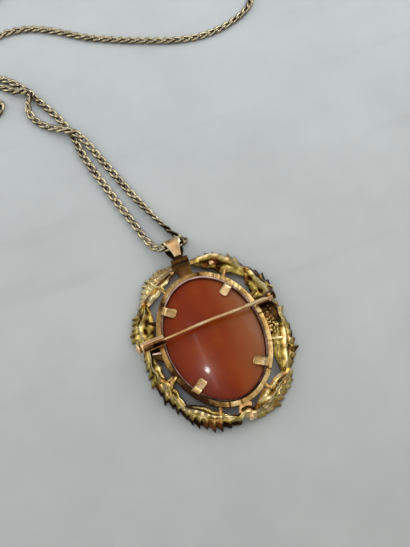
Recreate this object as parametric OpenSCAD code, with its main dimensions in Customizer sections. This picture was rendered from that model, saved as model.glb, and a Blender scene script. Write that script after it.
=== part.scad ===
// Cameo pendant lying face down, with its brooch pin, bail and curb chain.
// Millimetres, +Z up out of the pendant's back, +Y towards the bail, origin on the
// surface it lies on, under the middle of the stone.

/* [Stone] */
// Width of the oval stone
stone_w = 24.2; // [22.5:0.1:26]
// Length of the oval stone
stone_l = 32.8; // [31:0.1:35]
// Height of the stone's front field above the surface that the pendant lies on
field_z = 1.3; // [1.25:0.05:1.6]
// Thickness of the stone at its edge
stone_edge_t = 2.6; // [2.3:0.1:3]
// Rise of the stone's domed back above its edge
back_rise = 1.1; // [0.6:0.1:1.3]
// Height of the carved relief above the front field
relief_h = 1.05; // [0.6:0.05:1.2]

/* [Bezel] */
// Width of the raised inner rim
rim_w = 0.7; // [0.5:0.05:1]
// Height of the rim above the stone's back edge
rim_rise = 1; // [0.7:0.1:1.3]
// Width of the groove between the rim and the flat band
groove_w = 0.2; // [0.15:0.05:0.4]
// Depth of that groove
groove_d = 0.6; // [0.3:0.1:1]
// Width of the flat band round the rim
band_w = 0.85; // [0.6:0.05:1.2]
// Height of the flat band
band_h = 2; // [1.4:0.1:2.4]
// Drop from the rim's top to the band's top
band_drop = 0.3; // [0.1:0.05:0.5]
// How far the front lip reaches in over the stone
lip_w = 0.6; // [0.3:0.05:1]
// Thickness of the front lip
lip_t = 0.5; // [0.3:0.05:0.7]
// Gap between the stone and the metal that holds it
seat_gap = 0.08; // [0.05:0.01:0.12]

/* [Claws] */
// Width of a claw
claw_w = 2.4; // [1.6:0.1:3]
// Reach of a claw in from the rim's middle
claw_reach = 3.4; // [2.6:0.1:3.8]
// Thickness of a claw
claw_t = 0.4; // [0.3:0.05:0.6]

/* [Leaf border] */
// Width of the leaf border, from the bezel's band to the leaves' outer points
border_w = 6.5; // [6:0.1:7]
// Height of the leaves' midribs above the surface
crest_z = 3.9; // [3.4:0.1:4.4]
// Thickness of a leaf at its midrib
rib_t = 1.9; // [1.2:0.1:2.4]
// Height of the top of the leaves' inner edge
inner_z = 3; // [2.4:0.1:3.3]
// Thickness of the leaves' edges
edge_t = 1.1; // [0.8:0.1:1.4]
// Depth of the teeth along the outer edge
tooth_d = 1; // [0.4:0.1:1.4]
// Radius of the bud at the foot of the border
bud_r = 1.6; // [1.2:0.1:2]
// Radius of the bead beside the bail's plate
bead_r = 0.6; // [0.4:0.05:0.8]
// Width of the struts between the bezel and the leaves, at their feet
strut_w = 1.1; // [0.9:0.1:1.4]
// Width of the struts at their ends
strut_t = 0.7; // [0.5:0.1:0.8]

/* [Brooch pin] */
// Distance of the pin above the middle of the stone, along the pendant
pin_y = 3.65; // [3:0.05:4.5]
// Height of the pin's axis
pin_z = 6.6; // [6.4:0.1:7]
// Thickness of the stem where it leaves its ferrule
stem_d = 0.84; // [0.7:0.02:1]
// Thickness of the stem at its tip
tip_d = 0.56; // [0.4:0.02:0.6]
// Thickness of the ferrule that holds the stem
ferrule_d = 1.1; // [1:0.05:1.3]
// Length of the ferrule
ferrule_l = 6.6; // [5:0.1:8]
// Length of the stem's tip inside the catch
tip_in = 3; // [2:0.1:3.2]
// Length of the stem's sharpened point
point_l = 1.5; // [1:0.1:2]
// Distance of the hinge's axis out from the bezel's band
hinge_out = 2.9; // [2.6:0.1:3.2]
// Thickness of the pin's knuckle round the hinge's axis
knuckle_d = 1.7; // [1.6:0.05:1.8]
// Width of the pin's knuckle
knuckle_w = 1; // [0.8:0.1:1.2]
// Thickness of the hinge bracket's arms and of its back
cheek_t = 0.45; // [0.4:0.05:0.6]
// Length of the bracket's arms in front of the hinge's axis
arm_l = 1.6; // [1:0.1:2]
// Height of the bracket's arms
arm_h = 1.5; // [1.4:0.1:1.7]
// Thickness of the hinge rivet
rivet_d = 0.8; // [0.6:0.05:0.9]
// How far the rivet's ends stand out of the bracket
rivet_out = 0.12; // [0.05:0.01:0.15]
// Radial play of a rivet or hinge pin in its holes
pivot_play = 0.03; // [0.02:0.01:0.05]
// Gap beside each hinge knuckle
side_play = 0.06; // [0.04:0.01:0.1]
// Gap behind and under the pin's knuckle
knuckle_gap = 0.4; // [0.3:0.05:0.5]

/* [Catch] */
// Outer thickness of the catch tube
catch_d = 2.7; // [2.5:0.05:3]
// Length of the catch tube
catch_l = 6; // [5.4:0.1:7]
// Wall of the catch tube
catch_wall = 0.35; // [0.3:0.05:0.4]
// How far the catch tube reaches in over the bezel
catch_in = 2; // [1.6:0.1:2.4]
// Width of the catch tube's mouth
mouth_w = 1; // [0.9:0.05:1.2]
// Angle above the level at which the pin leaves the mouth, and at which it swings
mouth_deg = 40; // [36:1:46]
// Width of the web that carries the catch tube
web_w = 1; // [0.7:0.1:1.4]
// Length of that web beyond the bezel's band
web_l = 2; // [1.5:0.1:2.5]
// Radial play of the sliding tube
slide_play = 0.05; // [0.04:0.01:0.08]
// Wall of the sliding tube
slide_wall = 0.3; // [0.2:0.05:0.35]
// Thickness of the thumb disc across
disc_d = 3.2; // [2.8:0.1:3.6]
// Thickness of the thumb disc along the tube
disc_t = 0.5; // [0.4:0.1:0.7]
// How far the slide is drawn out, as it lies
slide_out = 0.5; // [0.4:0.05:0.7]
// Gap between the pin's tip and the end of the drawn slide
tip_gap = 0.1; // [0.05:0.01:0.2]
// Thickness of the knob on the disc
knob_d = 1.4; // [1:0.1:1.6]

/* [Bail] */
// Distance of the bail's hinge out from the bezel's band
bail_out = 4.8; // [4.5:0.1:5.2]
// Height of the bail's hinge axis
bail_z = 3.4; // [3.2:0.1:3.6]
// Thickness of the bail's hinge knuckles
tube_d = 1.7; // [1.5:0.05:1.8]
// Length of the hinge tube across
tube_l = 4.6; // [4:0.1:5]
// Width of the bail's own knuckle
bail_knuckle_w = 1.6; // [1.4:0.1:2]
// Distance from the hinge to the middle of the bail's fold
fold_y = 4.8; // [4.6:0.1:5]
// Outer radius of the fold
fold_r = 1.8; // [1.75:0.05:1.85]
// Thickness of the bail's strap
strap_t = 0.45; // [0.35:0.05:0.5]
// Width of the strap at the fold
strap_w = 5.4; // [5:0.1:5.5]
// Thickness of the hinge pin
bail_pin_d = 0.8; // [0.6:0.05:0.9]
// Height of the underside of the plate that carries the hinge
plate_z = 2.75; // [2.65:0.05:2.8]
// Thickness of that plate
plate_t = 0.8; // [0.7:0.1:0.9]
// Gap between the plate and the bail's knuckle
plate_gap = 0.12; // [0.1:0.01:0.2]
// Width of the link from the plate to the last leaf
link_w = 1; // [0.8:0.1:1.2]
// Width of that plate at the bezel
plate_w = 3.4; // [3:0.1:4]

/* [Chain] */
// Width of the curb chain
chain_w = 2.1; // [1.8:0.05:2.1]
// Thickness of the curb chain
chain_t = 1.4; // [1.2:0.05:1.4]

/* [Clasp] */
// Thickness of the clasp's barrel
clasp_d = 2.8; // [2.4:0.1:3.2]
// Length of the clasp's barrel
clasp_l = 8.6; // [7:0.1:8.6]
// Thickness of the collars at its ends
collar_d = 2; // [1.8:0.1:2.2]
// Length of each collar
collar_l = 1.2; // [0.8:0.1:1.6]
// Gap between the clasp and the chain's ends
clasp_gap = 0.2; // [0.1:0.05:0.3]

/* [Hidden] */
$fn = 48;

// How deep joined parts reach into one another, and cuts beyond what they cut
overlap = 0.2;

// Half sizes of the stone and of the ovals round it
stone_a = stone_w / 2;
stone_b = stone_l / 2;
wall_grow = seat_gap;
rim_grow = wall_grow + rim_w;
groove_grow = rim_grow + groove_w;
band_grow = groove_grow + band_w;
band_a = stone_a + band_grow;
band_b = stone_b + band_grow;

// Heights
edge_z = field_z + stone_edge_t;
rim_z = edge_z + rim_rise;
band_z = rim_z - band_drop;
lip_z = field_z - seat_gap;

// The relief is a spray of flowers. All its places and sizes are shares of the stone's
// half width. Rows of petals: [how many, distance from the middle, radius, height, first angle]
PETALS = [
    [5, 0.34, 0.25, 0.62, 90],
    [5, 0.20, 0.20, 0.80, 54],
    [3, 0.10, 0.13, 0.92, 90],
    [1, 0.00, 0.07, 1.00, 0],
];
// Flowers: [across, along, size, height]
FLOWERS = [
    [0.00, 0.05, 1.00, 1.0],
    [-0.36, 0.72, 0.52, 0.7],
    [0.38, 0.66, 0.46, 0.7],
    [0.02, -0.72, 0.55, 0.7],
];
LEAF_HEIGHT = 0.45;
// Leaves: [across, along, half length, half width, angle]
SPRAY = [
    [-0.55, 0.28, 0.28, 0.12, 150], [0.57, 0.22, 0.28, 0.12, 28],
    [-0.52, -0.36, 0.28, 0.12, 215], [0.52, -0.38, 0.28, 0.12, 325],
    [0.02, 0.93, 0.22, 0.10, 90], [-0.26, -1.02, 0.24, 0.10, 240],
    [0.30, -1.02, 0.24, 0.10, 300], [-0.68, 0.62, 0.20, 0.09, 120],
    [0.66, 0.60, 0.20, 0.09, 60],
];

// Height of a rounded lump at distance d from its middle, as a share of its own
function lump(d) = d < 1 ? sqrt(1 - d * d) : 0;

// Relief of one flower of size s, at u across and v along from its middle
function flower(u, v, s) = max([
    for (row = PETALS)
        for (k = [0 : row[0] - 1])
            let (
                t = row[4] + 360 * k / row[0],
                d = norm([u - s * row[1] * cos(t), v - s * row[1] * sin(t)])
            )
            row[3] * lump(d / (s * row[2]))
]);

// Relief of one leaf, a long oval with a fold along its middle
function spray_leaf(u, v, row) =
    let (
        c = cos(row[4]),
        s = sin(row[4]),
        along = (c * (u - row[0]) + s * (v - row[1])) / row[2],
        across = (c * (v - row[1]) - s * (u - row[0])) / row[3]
    )
    LEAF_HEIGHT * lump(norm([along, across]));

// Height of the whole relief at a place on the front field
function relief(x, y) =
    let (u = -x / stone_a, v = y / stone_a)
    relief_h * max(concat(
        [for (f = FLOWERS) f[3] * flower(u - f[0], v - f[1], f[2])],
        [for (row = SPRAY) spray_leaf(u, v, row)]
    ));

// Height of the domed back at a place over the stone
function back_z(x, y) =
    edge_z + back_rise * (1 - pow(x / stone_a, 2) - pow(y / stone_b, 2));

// Faces of a closed tube of rings with the same number of points, capped at both ends
function tube_faces(rings, sides) = concat(
    [
        for (i = [0 : rings - 2])
            for (j = [0 : sides - 1])
                let (
                    a = i * sides + j,
                    b = i * sides + (j + 1) % sides
                )
                each [[a, b, a + sides], [b, b + sides, a + sides]]
    ],
    [for (j = [1 : sides - 2]) [0, j + 1, j]],
    [
        for (j = [1 : sides - 2])
            let (last = (rings - 1) * sides)
            [last, last + j, last + j + 1]
    ]
);

// Points of an oval with half sizes a and b
function oval(a, b, count) = [
    for (i = [0 : count - 1]) [a * cos(360 * i / count), b * sin(360 * i / count)]
];

module oval_prism(grow, z0, z1) {
    translate([0, 0, z0])
        linear_extrude(height = z1 - z0)
            polygon(oval(stone_a + grow, stone_b + grow, 2 * $fn));
}

// A place on the oval round the bezel's band, grown by n
function on_border(phi, n) = [(band_a + n) * cos(phi), (band_b + n) * sin(phi)];

// The way out from the bezel at an angle of the oval
function out_deg(phi) = atan2(sin(phi) / band_b, cos(phi) / band_a);

// Stone: rings from the middle of the front, over the edge, to the middle of the back
STONE_SIDES = 84;
FRONT_RINGS = 22;
BACK_RINGS = 6;
stone_rings = FRONT_RINGS + BACK_RINGS;
stone_points = concat(
    [[0, 0, field_z - relief(0, 0)]],
    [
        for (i = [1 : FRONT_RINGS])
            for (j = [0 : STONE_SIDES - 1])
                let (
                    r = i / FRONT_RINGS,
                    x = stone_a * r * cos(360 * j / STONE_SIDES),
                    y = stone_b * r * sin(360 * j / STONE_SIDES)
                )
                [x, y, field_z - relief(x, y)]
    ],
    [
        for (i = [0 : BACK_RINGS - 1])
            for (j = [0 : STONE_SIDES - 1])
                let (
                    r = 1 - i / BACK_RINGS,
                    x = stone_a * r * cos(360 * j / STONE_SIDES),
                    y = stone_b * r * sin(360 * j / STONE_SIDES)
                )
                [x, y, back_z(x, y)]
    ],
    [[0, 0, back_z(0, 0)]]
);
stone_faces = concat(
    [for (j = [0 : STONE_SIDES - 1]) [0, 1 + j, 1 + (j + 1) % STONE_SIDES]],
    [
        for (i = [0 : stone_rings - 2])
            for (j = [0 : STONE_SIDES - 1])
                let (
                    a = 1 + i * STONE_SIDES + j,
                    b = 1 + i * STONE_SIDES + (j + 1) % STONE_SIDES
                )
                each [[a, a + STONE_SIDES, b], [b, a + STONE_SIDES, b + STONE_SIDES]]
    ],
    [
        for (j = [0 : STONE_SIDES - 1])
            let (last = 1 + (stone_rings - 1) * STONE_SIDES)
            [last + j, len(stone_points) - 1, last + (j + 1) % STONE_SIDES]
    ]
);

module cameo_stone() {
    color("#8a3d1c") polyhedron(stone_points, stone_faces);
}

module bezel() {
    difference() {
        union() {
            oval_prism(rim_grow, field_z - lip_t, rim_z);
            oval_prism(band_grow, band_z - band_h, band_z);
        }
        oval_prism(-lip_w, 0, rim_z + 1);
        oval_prism(wall_grow, lip_z, rim_z + 1);
        difference() {
            oval_prism(groove_grow, band_z - groove_d, rim_z + 1);
            oval_prism(rim_grow, 0, rim_z + 2);
        }
    }
}

// Angles of the four claws on the oval
CLAW_DEG = [43, 138.5, 221, 319];

// Height of the domed back under the two corners of a claw's end, whichever is higher
function under_claw(tip, turn) = max([
    for (side = [-1, 1])
        back_z(
            tip[0] - side * claw_w / 2 * sin(turn),
            tip[1] + side * claw_w / 2 * cos(turn)
        )
]);

// A claw: a strip bent from the rim down onto the stone's back
module claw(phi) {
    grow = wall_grow + rim_w / 2;
    foot = [(stone_a + grow) * cos(phi), (stone_b + grow) * sin(phi)];
    turn = out_deg(phi);
    tip_z = under_claw(foot - claw_reach * [cos(turn), sin(turn)], turn) + seat_gap;
    bend_z = max(rim_z - claw_t / 2, tip_z);
    foot_z = rim_z - claw_t;
    translate([foot[0], foot[1], 0])
        rotate([90, 0, turn])
            translate([0, 0, -claw_w / 2])
                linear_extrude(height = claw_w)
                    polygon([
                        [rim_w / 2, foot_z],
                        [rim_w / 2, rim_z + claw_t],
                        [-rim_w, bend_z + claw_t],
                        [-claw_reach, tip_z + claw_t],
                        [-claw_reach, tip_z],
                        [-rim_w, bend_z],
                        [-rim_w / 2, foot_z],
                    ]);
}

// Leaves of the border, base first. Each row is an angle on the oval, then the midrib,
// the inner edge and the outer edge as shares of the border's width.
LEAVES = [
    [[98, 0.47, 0.38, 0.83], [108, 0.41, 0.31, 1.04], [116, 0.49, 0.27, 1.06],
        [124, 0.54, 0.27, 1.04], [132, 0.57, 0.34, 0.93], [140, 0.72, 0.62, 0.83]],
    [[134, 0.59, 0.51, 0.72], [142, 0.53, 0.26, 0.88], [148, 0.55, 0.15, 1.01],
        [154, 0.60, 0.13, 1.02], [160, 0.55, 0.13, 1.01], [167, 0.54, 0.44, 0.78]],
    [[170, 0.39, 0.29, 0.63], [178, 0.41, 0.24, 0.75], [185, 0.47, 0.24, 0.79],
        [192, 0.47, 0.24, 0.82], [199, 0.38, 0.28, 0.55]],
    [[194, 0.41, 0.33, 0.73], [202, 0.44, 0.21, 0.82], [209, 0.47, 0.26, 0.82],
        [215, 0.47, 0.33, 0.78], [220.5, 0.49, 0.41, 0.66]],
    [[218, 0.51, 0.36, 0.73], [226, 0.42, 0.16, 0.85], [234, 0.33, 0.12, 0.86],
        [243, 0.31, 0.15, 0.82], [252, 0.33, 0.21, 0.70], [264, 0.38, 0.28, 0.60]],
    [[276, 0.38, 0.28, 0.64], [289, 0.44, 0.10, 0.82], [298, 0.42, 0.10, 0.88],
        [306, 0.47, 0.23, 0.90], [313, 0.57, 0.29, 0.91], [321, 0.72, 0.60, 0.85]],
    [[317, 0.55, 0.41, 0.71], [326, 0.55, 0.16, 0.86], [334, 0.55, 0.10, 1.01],
        [342, 0.54, 0.08, 0.99], [350, 0.55, 0.21, 0.95], [358, 0.64, 0.54, 0.80]],
    [[355.5, 0.60, 0.47, 0.78], [361, 0.60, 0.38, 0.93], [367, 0.60, 0.46, 0.91],
        [374, 0.65, 0.57, 0.77]],
    [[372, 0.68, 0.49, 0.84], [379, 0.72, 0.10, 1.13], [386, 0.75, 0.29, 1.17],
        [392, 0.78, 0.34, 1.14], [399, 0.83, 0.72, 0.98]],
    [[395, 0.68, 0.54, 0.90], [402, 0.73, 0.46, 1.03], [409, 0.85, 0.34, 1.16],
        [417, 0.85, 0.24, 1.16], [425, 0.80, 0.29, 1.08], [433, 0.70, 0.34, 0.91],
        [442, 0.62, 0.52, 0.77]],
];
// Teeth on each leaf, and how far round the oval their points lean, in degrees
TEETH = [8, 6, 4, 4, 6, 6, 6, 3, 4, 7];
TOOTH_LEAN = 1.1;
// Fall of a leaf's base and tip, as a share of its midrib's height
END_FALL = 0.18;

function mix(a, b, t) = a * (1 - t) + b * t;

// Row of a leaf's table at u, from 0 at its base to 1 at its tip
function leaf_row(rows, u) =
    let (
        s = u * (len(rows) - 1),
        i = min(floor(s), len(rows) - 2)
    )
    mix(rows[i], rows[i + 1], s - i);

function leaf_point(phi, n, z) = concat(on_border(phi, n * border_w), [z]);

// The six points round a leaf at u. A tooth's point leans towards the leaf's tip.
function leaf_ring(rows, u, is_point) =
    let (
        row = leaf_row(rows, u),
        cut = is_point ? 0 : tooth_d / border_w * sin(180 * u),
        low = is_point ? 0 : edge_t / 2,
        lean = is_point ? TOOTH_LEAN : 0,
        fall = END_FALL * crest_z * pow(2 * u - 1, 2)
    )
    [
        leaf_point(row[0], row[2], inner_z - fall - edge_t),
        leaf_point(row[0], row[1], crest_z - fall - rib_t),
        leaf_point(row[0] + lean, row[3] - cut, low),
        leaf_point(row[0] + lean, row[3] - cut, low + edge_t),
        leaf_point(row[0], row[1], crest_z - fall),
        leaf_point(row[0], row[2], inner_z - fall),
    ];

module leaf(rows, teeth) {
    steps = 2 * teeth;
    points = [for (i = [0 : steps]) each leaf_ring(rows, i / steps, i % 2 == 1)];
    polyhedron(points, tube_faces(steps + 1, 6));
}

// Struts from the band to the leaves: [angle on the oval, reach as a share of the border]
STRUTS = [
    [119, 0.38], [150, 0.33], [197, 0.37], [247, 0.29], [300, 0.29],
    [350, 0.33], [363, 0.46], [382, 0.37], [412, 0.42],
];

// A strut narrows from its foot in the band to its end under the leaf
module strut(phi, reach) {
    foot = on_border(phi, -band_w / 2);
    end_x = reach * border_w + band_w / 2;
    translate([foot[0], foot[1], band_z - band_h])
        rotate([0, 0, out_deg(phi)])
            hull() {
                translate([0, -strut_w / 2, 0]) cube([strut_t, strut_w, band_h / 2]);
                translate([end_x - strut_t, -strut_t / 2, 0])
                    cube([strut_t, strut_t, band_h / 2]);
            }
}

// Corners of the plate under the bud: [angle on the oval, share of the border's width]
BUD_PLATE = [[266, -0.06], [262.5, 0.28], [272, 0.41], [277.5, 0.11], [276, -0.06]];
// Places of the bud and of the bead, in the same way
BUD_AT = [273, 0.47];
BEAD_AT = [101, 0.41];

function share_place(row) = on_border(row[0], row[1] * border_w);

// A faceted ball, with small flats at its poles
BALL_SIDES = 10;
BALL_DEG = [-75, -50, -25, 0, 25, 50, 75];

module ball(r) {
    points = [
        for (rise = BALL_DEG)
            for (j = [0 : BALL_SIDES - 1])
                let (t = -360 * j / BALL_SIDES)
                r * [cos(rise) * cos(t), cos(rise) * sin(t), sin(rise)]
    ];
    polyhedron(points, tube_faces(len(BALL_DEG), BALL_SIDES));
}

// Bud at the foot of the border, on its plate, and the bead beside the bail's plate
module bud() {
    bud_place = share_place(BUD_AT);
    bead_place = share_place(BEAD_AT);
    translate([bud_place[0], bud_place[1], bud_r]) ball(bud_r);
    translate([0, 0, band_z - band_h])
        linear_extrude(height = band_h)
            polygon([for (row = BUD_PLATE) share_place(row)]);
    translate([bead_place[0], bead_place[1], crest_z - bead_r]) ball(bead_r);
}

// Where the pin's hinge and the catch lie
hinge_x = band_a + hinge_out;
catch_x = -(band_a - catch_in);
catch_end = catch_x - catch_l;
bore_r = catch_d / 2 - catch_wall;

// A cylinder along X or Y, from a starting place
module rod_x(x0, y, z, r, length) {
    translate([x0, y, z]) rotate([0, 90, 0]) cylinder(r = r, h = length);
}

module rod_y(x, y0, z, r, length) {
    translate([x, y0, z]) rotate([-90, 0, 0]) cylinder(r = r, h = length);
}

// Turns what follows about the pin's axis, so that its +Z points out of the mouth
module pin_turn() {
    translate([0, pin_y, pin_z]) rotate([90 - mouth_deg, 0, 0]) children();
}

// Fixed tube of the catch, with its mouth, on a web from the band
module catch_tube() {
    web_z = band_z - band_h;
    difference() {
        union() {
            rod_x(catch_end, pin_y, pin_z, catch_d / 2, catch_l);
            translate([-band_a - web_l, pin_y - web_w / 2, web_z])
                cube([web_l + band_w / 2, web_w, pin_z - bore_r - catch_wall / 2 - web_z]);
        }
        rod_x(catch_end - overlap, pin_y, pin_z, bore_r, catch_l + 2 * overlap);
        pin_turn()
            translate([catch_end + catch_wall, -mouth_w / 2, 0])
                cube([catch_l, mouth_w, catch_d]);
    }
}

// Hinge of the pin: a bracket, bent in a U round the knuckle, on a block between the band
// and the leaves. It is turned, so that the pin swings out through the catch's mouth.
half_gap = knuckle_w / 2 + side_play;
bracket_w = 2 * (half_gap + cheek_t);
back_x = hinge_x + knuckle_d / 2 + knuckle_gap / 2;
block_top = pin_z - knuckle_d / 2 - knuckle_gap;

module pin_hinge() {
    block_z = band_z - band_h / 2;
    foot_h = knuckle_d / 2 + knuckle_gap;
    translate([band_a - band_w / 2, pin_y - half_gap, block_z])
        cube([hinge_out + band_w / 2 + knuckle_d / 2, bracket_w, block_top - block_z]);
    difference() {
        pin_turn()
            difference() {
                translate([hinge_x - arm_l, -bracket_w / 2, -foot_h])
                    cube([back_x + cheek_t - hinge_x + arm_l, bracket_w, foot_h + arm_h / 2]);
                translate([hinge_x - arm_l - overlap, -half_gap, -foot_h - overlap])
                    cube([back_x - hinge_x + arm_l + overlap, 2 * half_gap, 2 * foot_h + arm_h]);
            }
        pin_turn() rod_y(hinge_x, -bracket_w, 0, rivet_d / 2 + pivot_play, 2 * bracket_w);
    }
}

// Plate and knuckles that carry the bail
bail_y = band_b + bail_out;
tube_r = tube_d / 2;
knuckle_x = bail_knuckle_w / 2 + side_play;
plate_end = bail_y - tube_r - plate_gap;

module bail_hinge() {
    lug_w = tube_l / 2 - knuckle_x;
    foot_y = band_b - band_w / 2;
    difference() {
        union() {
            translate([0, 0, plate_z])
                linear_extrude(height = plate_t)
                    polygon([
                        [-tube_l / 2, plate_end], [tube_l / 2, plate_end],
                        [plate_w / 2, foot_y], [-plate_w / 2, foot_y],
                    ]);
            for (side = [0, 1])
                mirror([side, 0, 0]) {
                    rod_x(knuckle_x, bail_y, bail_z, tube_r, lug_w);
                    translate([knuckle_x, plate_end - overlap, plate_z])
                        cube([lug_w, tube_r + overlap, plate_t]);
                }
        }
        rod_x(-tube_l, bail_y, bail_z, bail_pin_d / 2 + pivot_play, 2 * tube_l);
    }
}

// Link from the plate to the tip of the last leaf
module tip_link() {
    translate([0, 0, plate_z])
        linear_extrude(height = plate_t)
            polygon([
                [tube_l / 2 - link_w / 2, plate_end], [tube_l / 2 - link_w / 2, plate_end - link_w],
                share_place([435, 0.48]), share_place([434, 0.66]),
            ]);
}

module setting() {
    color("#b48a50") {
        bezel();
        for (phi = CLAW_DEG) claw(phi);
        for (i = [0 : len(LEAVES) - 1]) leaf(LEAVES[i], TEETH[i]);
        for (row = STRUTS) strut(row[0], row[1]);
        bud();
        catch_tube();
        pin_hinge();
        bail_hinge();
        tip_link();
    }
}

// Stem, ferrule and knuckle of the brooch pin
module brooch_pin() {
    ferrule_x = hinge_x - ferrule_l;
    tip_x = catch_x - tip_in;
    stem_l = ferrule_x - tip_x - point_l;
    color("#c99a6a")
        pin_turn()
            difference() {
                union() {
                    rod_y(hinge_x, -knuckle_w / 2, 0, knuckle_d / 2, knuckle_w);
                    rod_x(ferrule_x, 0, 0, ferrule_d / 2, ferrule_l - knuckle_d / 2 + overlap);
                    translate([tip_x + point_l, 0, 0])
                        rotate([0, 90, 0])
                            cylinder(d1 = tip_d, d2 = stem_d, h = stem_l + overlap);
                    translate([tip_x, 0, 0])
                        rotate([0, 90, 0]) cylinder(d1 = tip_d / 5, d2 = tip_d, h = point_l);
                }
                rod_y(hinge_x, -knuckle_w, 0, rivet_d / 2 + pivot_play, 2 * knuckle_w);
            }
}

// Rivet through the pin's hinge
module hinge_rivet() {
    color("#8a6a48")
        pin_turn()
            rod_y(hinge_x, -bracket_w / 2 - rivet_out, 0, rivet_d / 2, bracket_w + 2 * rivet_out);
}

// Sliding tube of the catch, with its thumb disc and knob. Pushed in, it covers the tip.
module catch_slide() {
    slide_r = bore_r - slide_play;
    disc_x = catch_end - slide_out - disc_t;
    slide_end = catch_x - tip_in - tip_gap;
    color("#c99a6a")
        difference() {
            union() {
                rod_x(disc_x, pin_y, pin_z, slide_r, slide_end - disc_x);
                rod_x(disc_x, pin_y, pin_z, disc_d / 2, disc_t);
                translate([disc_x, pin_y, pin_z]) sphere(knob_d / 2);
            }
            rod_x(catch_end, pin_y, pin_z, slide_r - slide_wall, catch_l);
        }
}

// Side outline of the bail's folded strap, from its knuckle round the fold
module drop_outline(near_r, far_r) {
    lean = asin((far_r - near_r) / fold_y);
    circle(far_r);
    polygon([
        far_r * [-sin(lean), cos(lean)], far_r * [-sin(lean), -cos(lean)],
        [-fold_y, 0] + near_r * [-sin(lean), -cos(lean)],
        [-fold_y, 0] + near_r * [-sin(lean), cos(lean)],
    ]);
}

// Half widths of the strap from its knuckle to its fold, as shares of its width there:
// the narrow back face and the broader front face
BACK_FACE = [[0.08, 0.16], [0.30, 0.19], [0.55, 0.29], [0.78, 0.40], [1.02, 0.50]];
FRONT_FACE = [[0.08, 0.16], [0.25, 0.30], [0.50, 0.43], [0.78, 0.48], [1.02, 0.50]];

module face_plan(rows) {
    reach = fold_y + fold_r;
    polygon(concat(
        [for (row = rows) [row[1] * strap_w, row[0] * reach]],
        [for (i = [len(rows) - 1 : -1 : 0]) [-rows[i][1] * strap_w, rows[i][0] * reach]]
    ));
}

module bail() {
    color("#d8a868")
        translate([0, bail_y, bail_z])
            difference() {
                union() {
                    intersection() {
                        rotate([90, 0, 90])
                            translate([fold_y, 0, -strap_w])
                                linear_extrude(height = 2 * strap_w)
                                    difference() {
                                        drop_outline(tube_r * 0.88, fold_r);
                                        drop_outline(tube_r * 0.14, fold_r - strap_t);
                                    }
                        union() {
                            linear_extrude(height = 2 * fold_r) face_plan(BACK_FACE);
                            mirror([0, 0, 1])
                                linear_extrude(height = 2 * fold_r) face_plan(FRONT_FACE);
                        }
                    }
                    rod_x(-bail_knuckle_w / 2, 0, 0, tube_r, bail_knuckle_w);
                }
                rod_x(-strap_w, 0, 0, bail_pin_d / 2 + pivot_play, 2 * strap_w);
            }
}

module bail_pin() {
    color("#5a4028") rod_x(-tube_l / 2, bail_y, bail_z, bail_pin_d / 2, tube_l);
}

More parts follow.
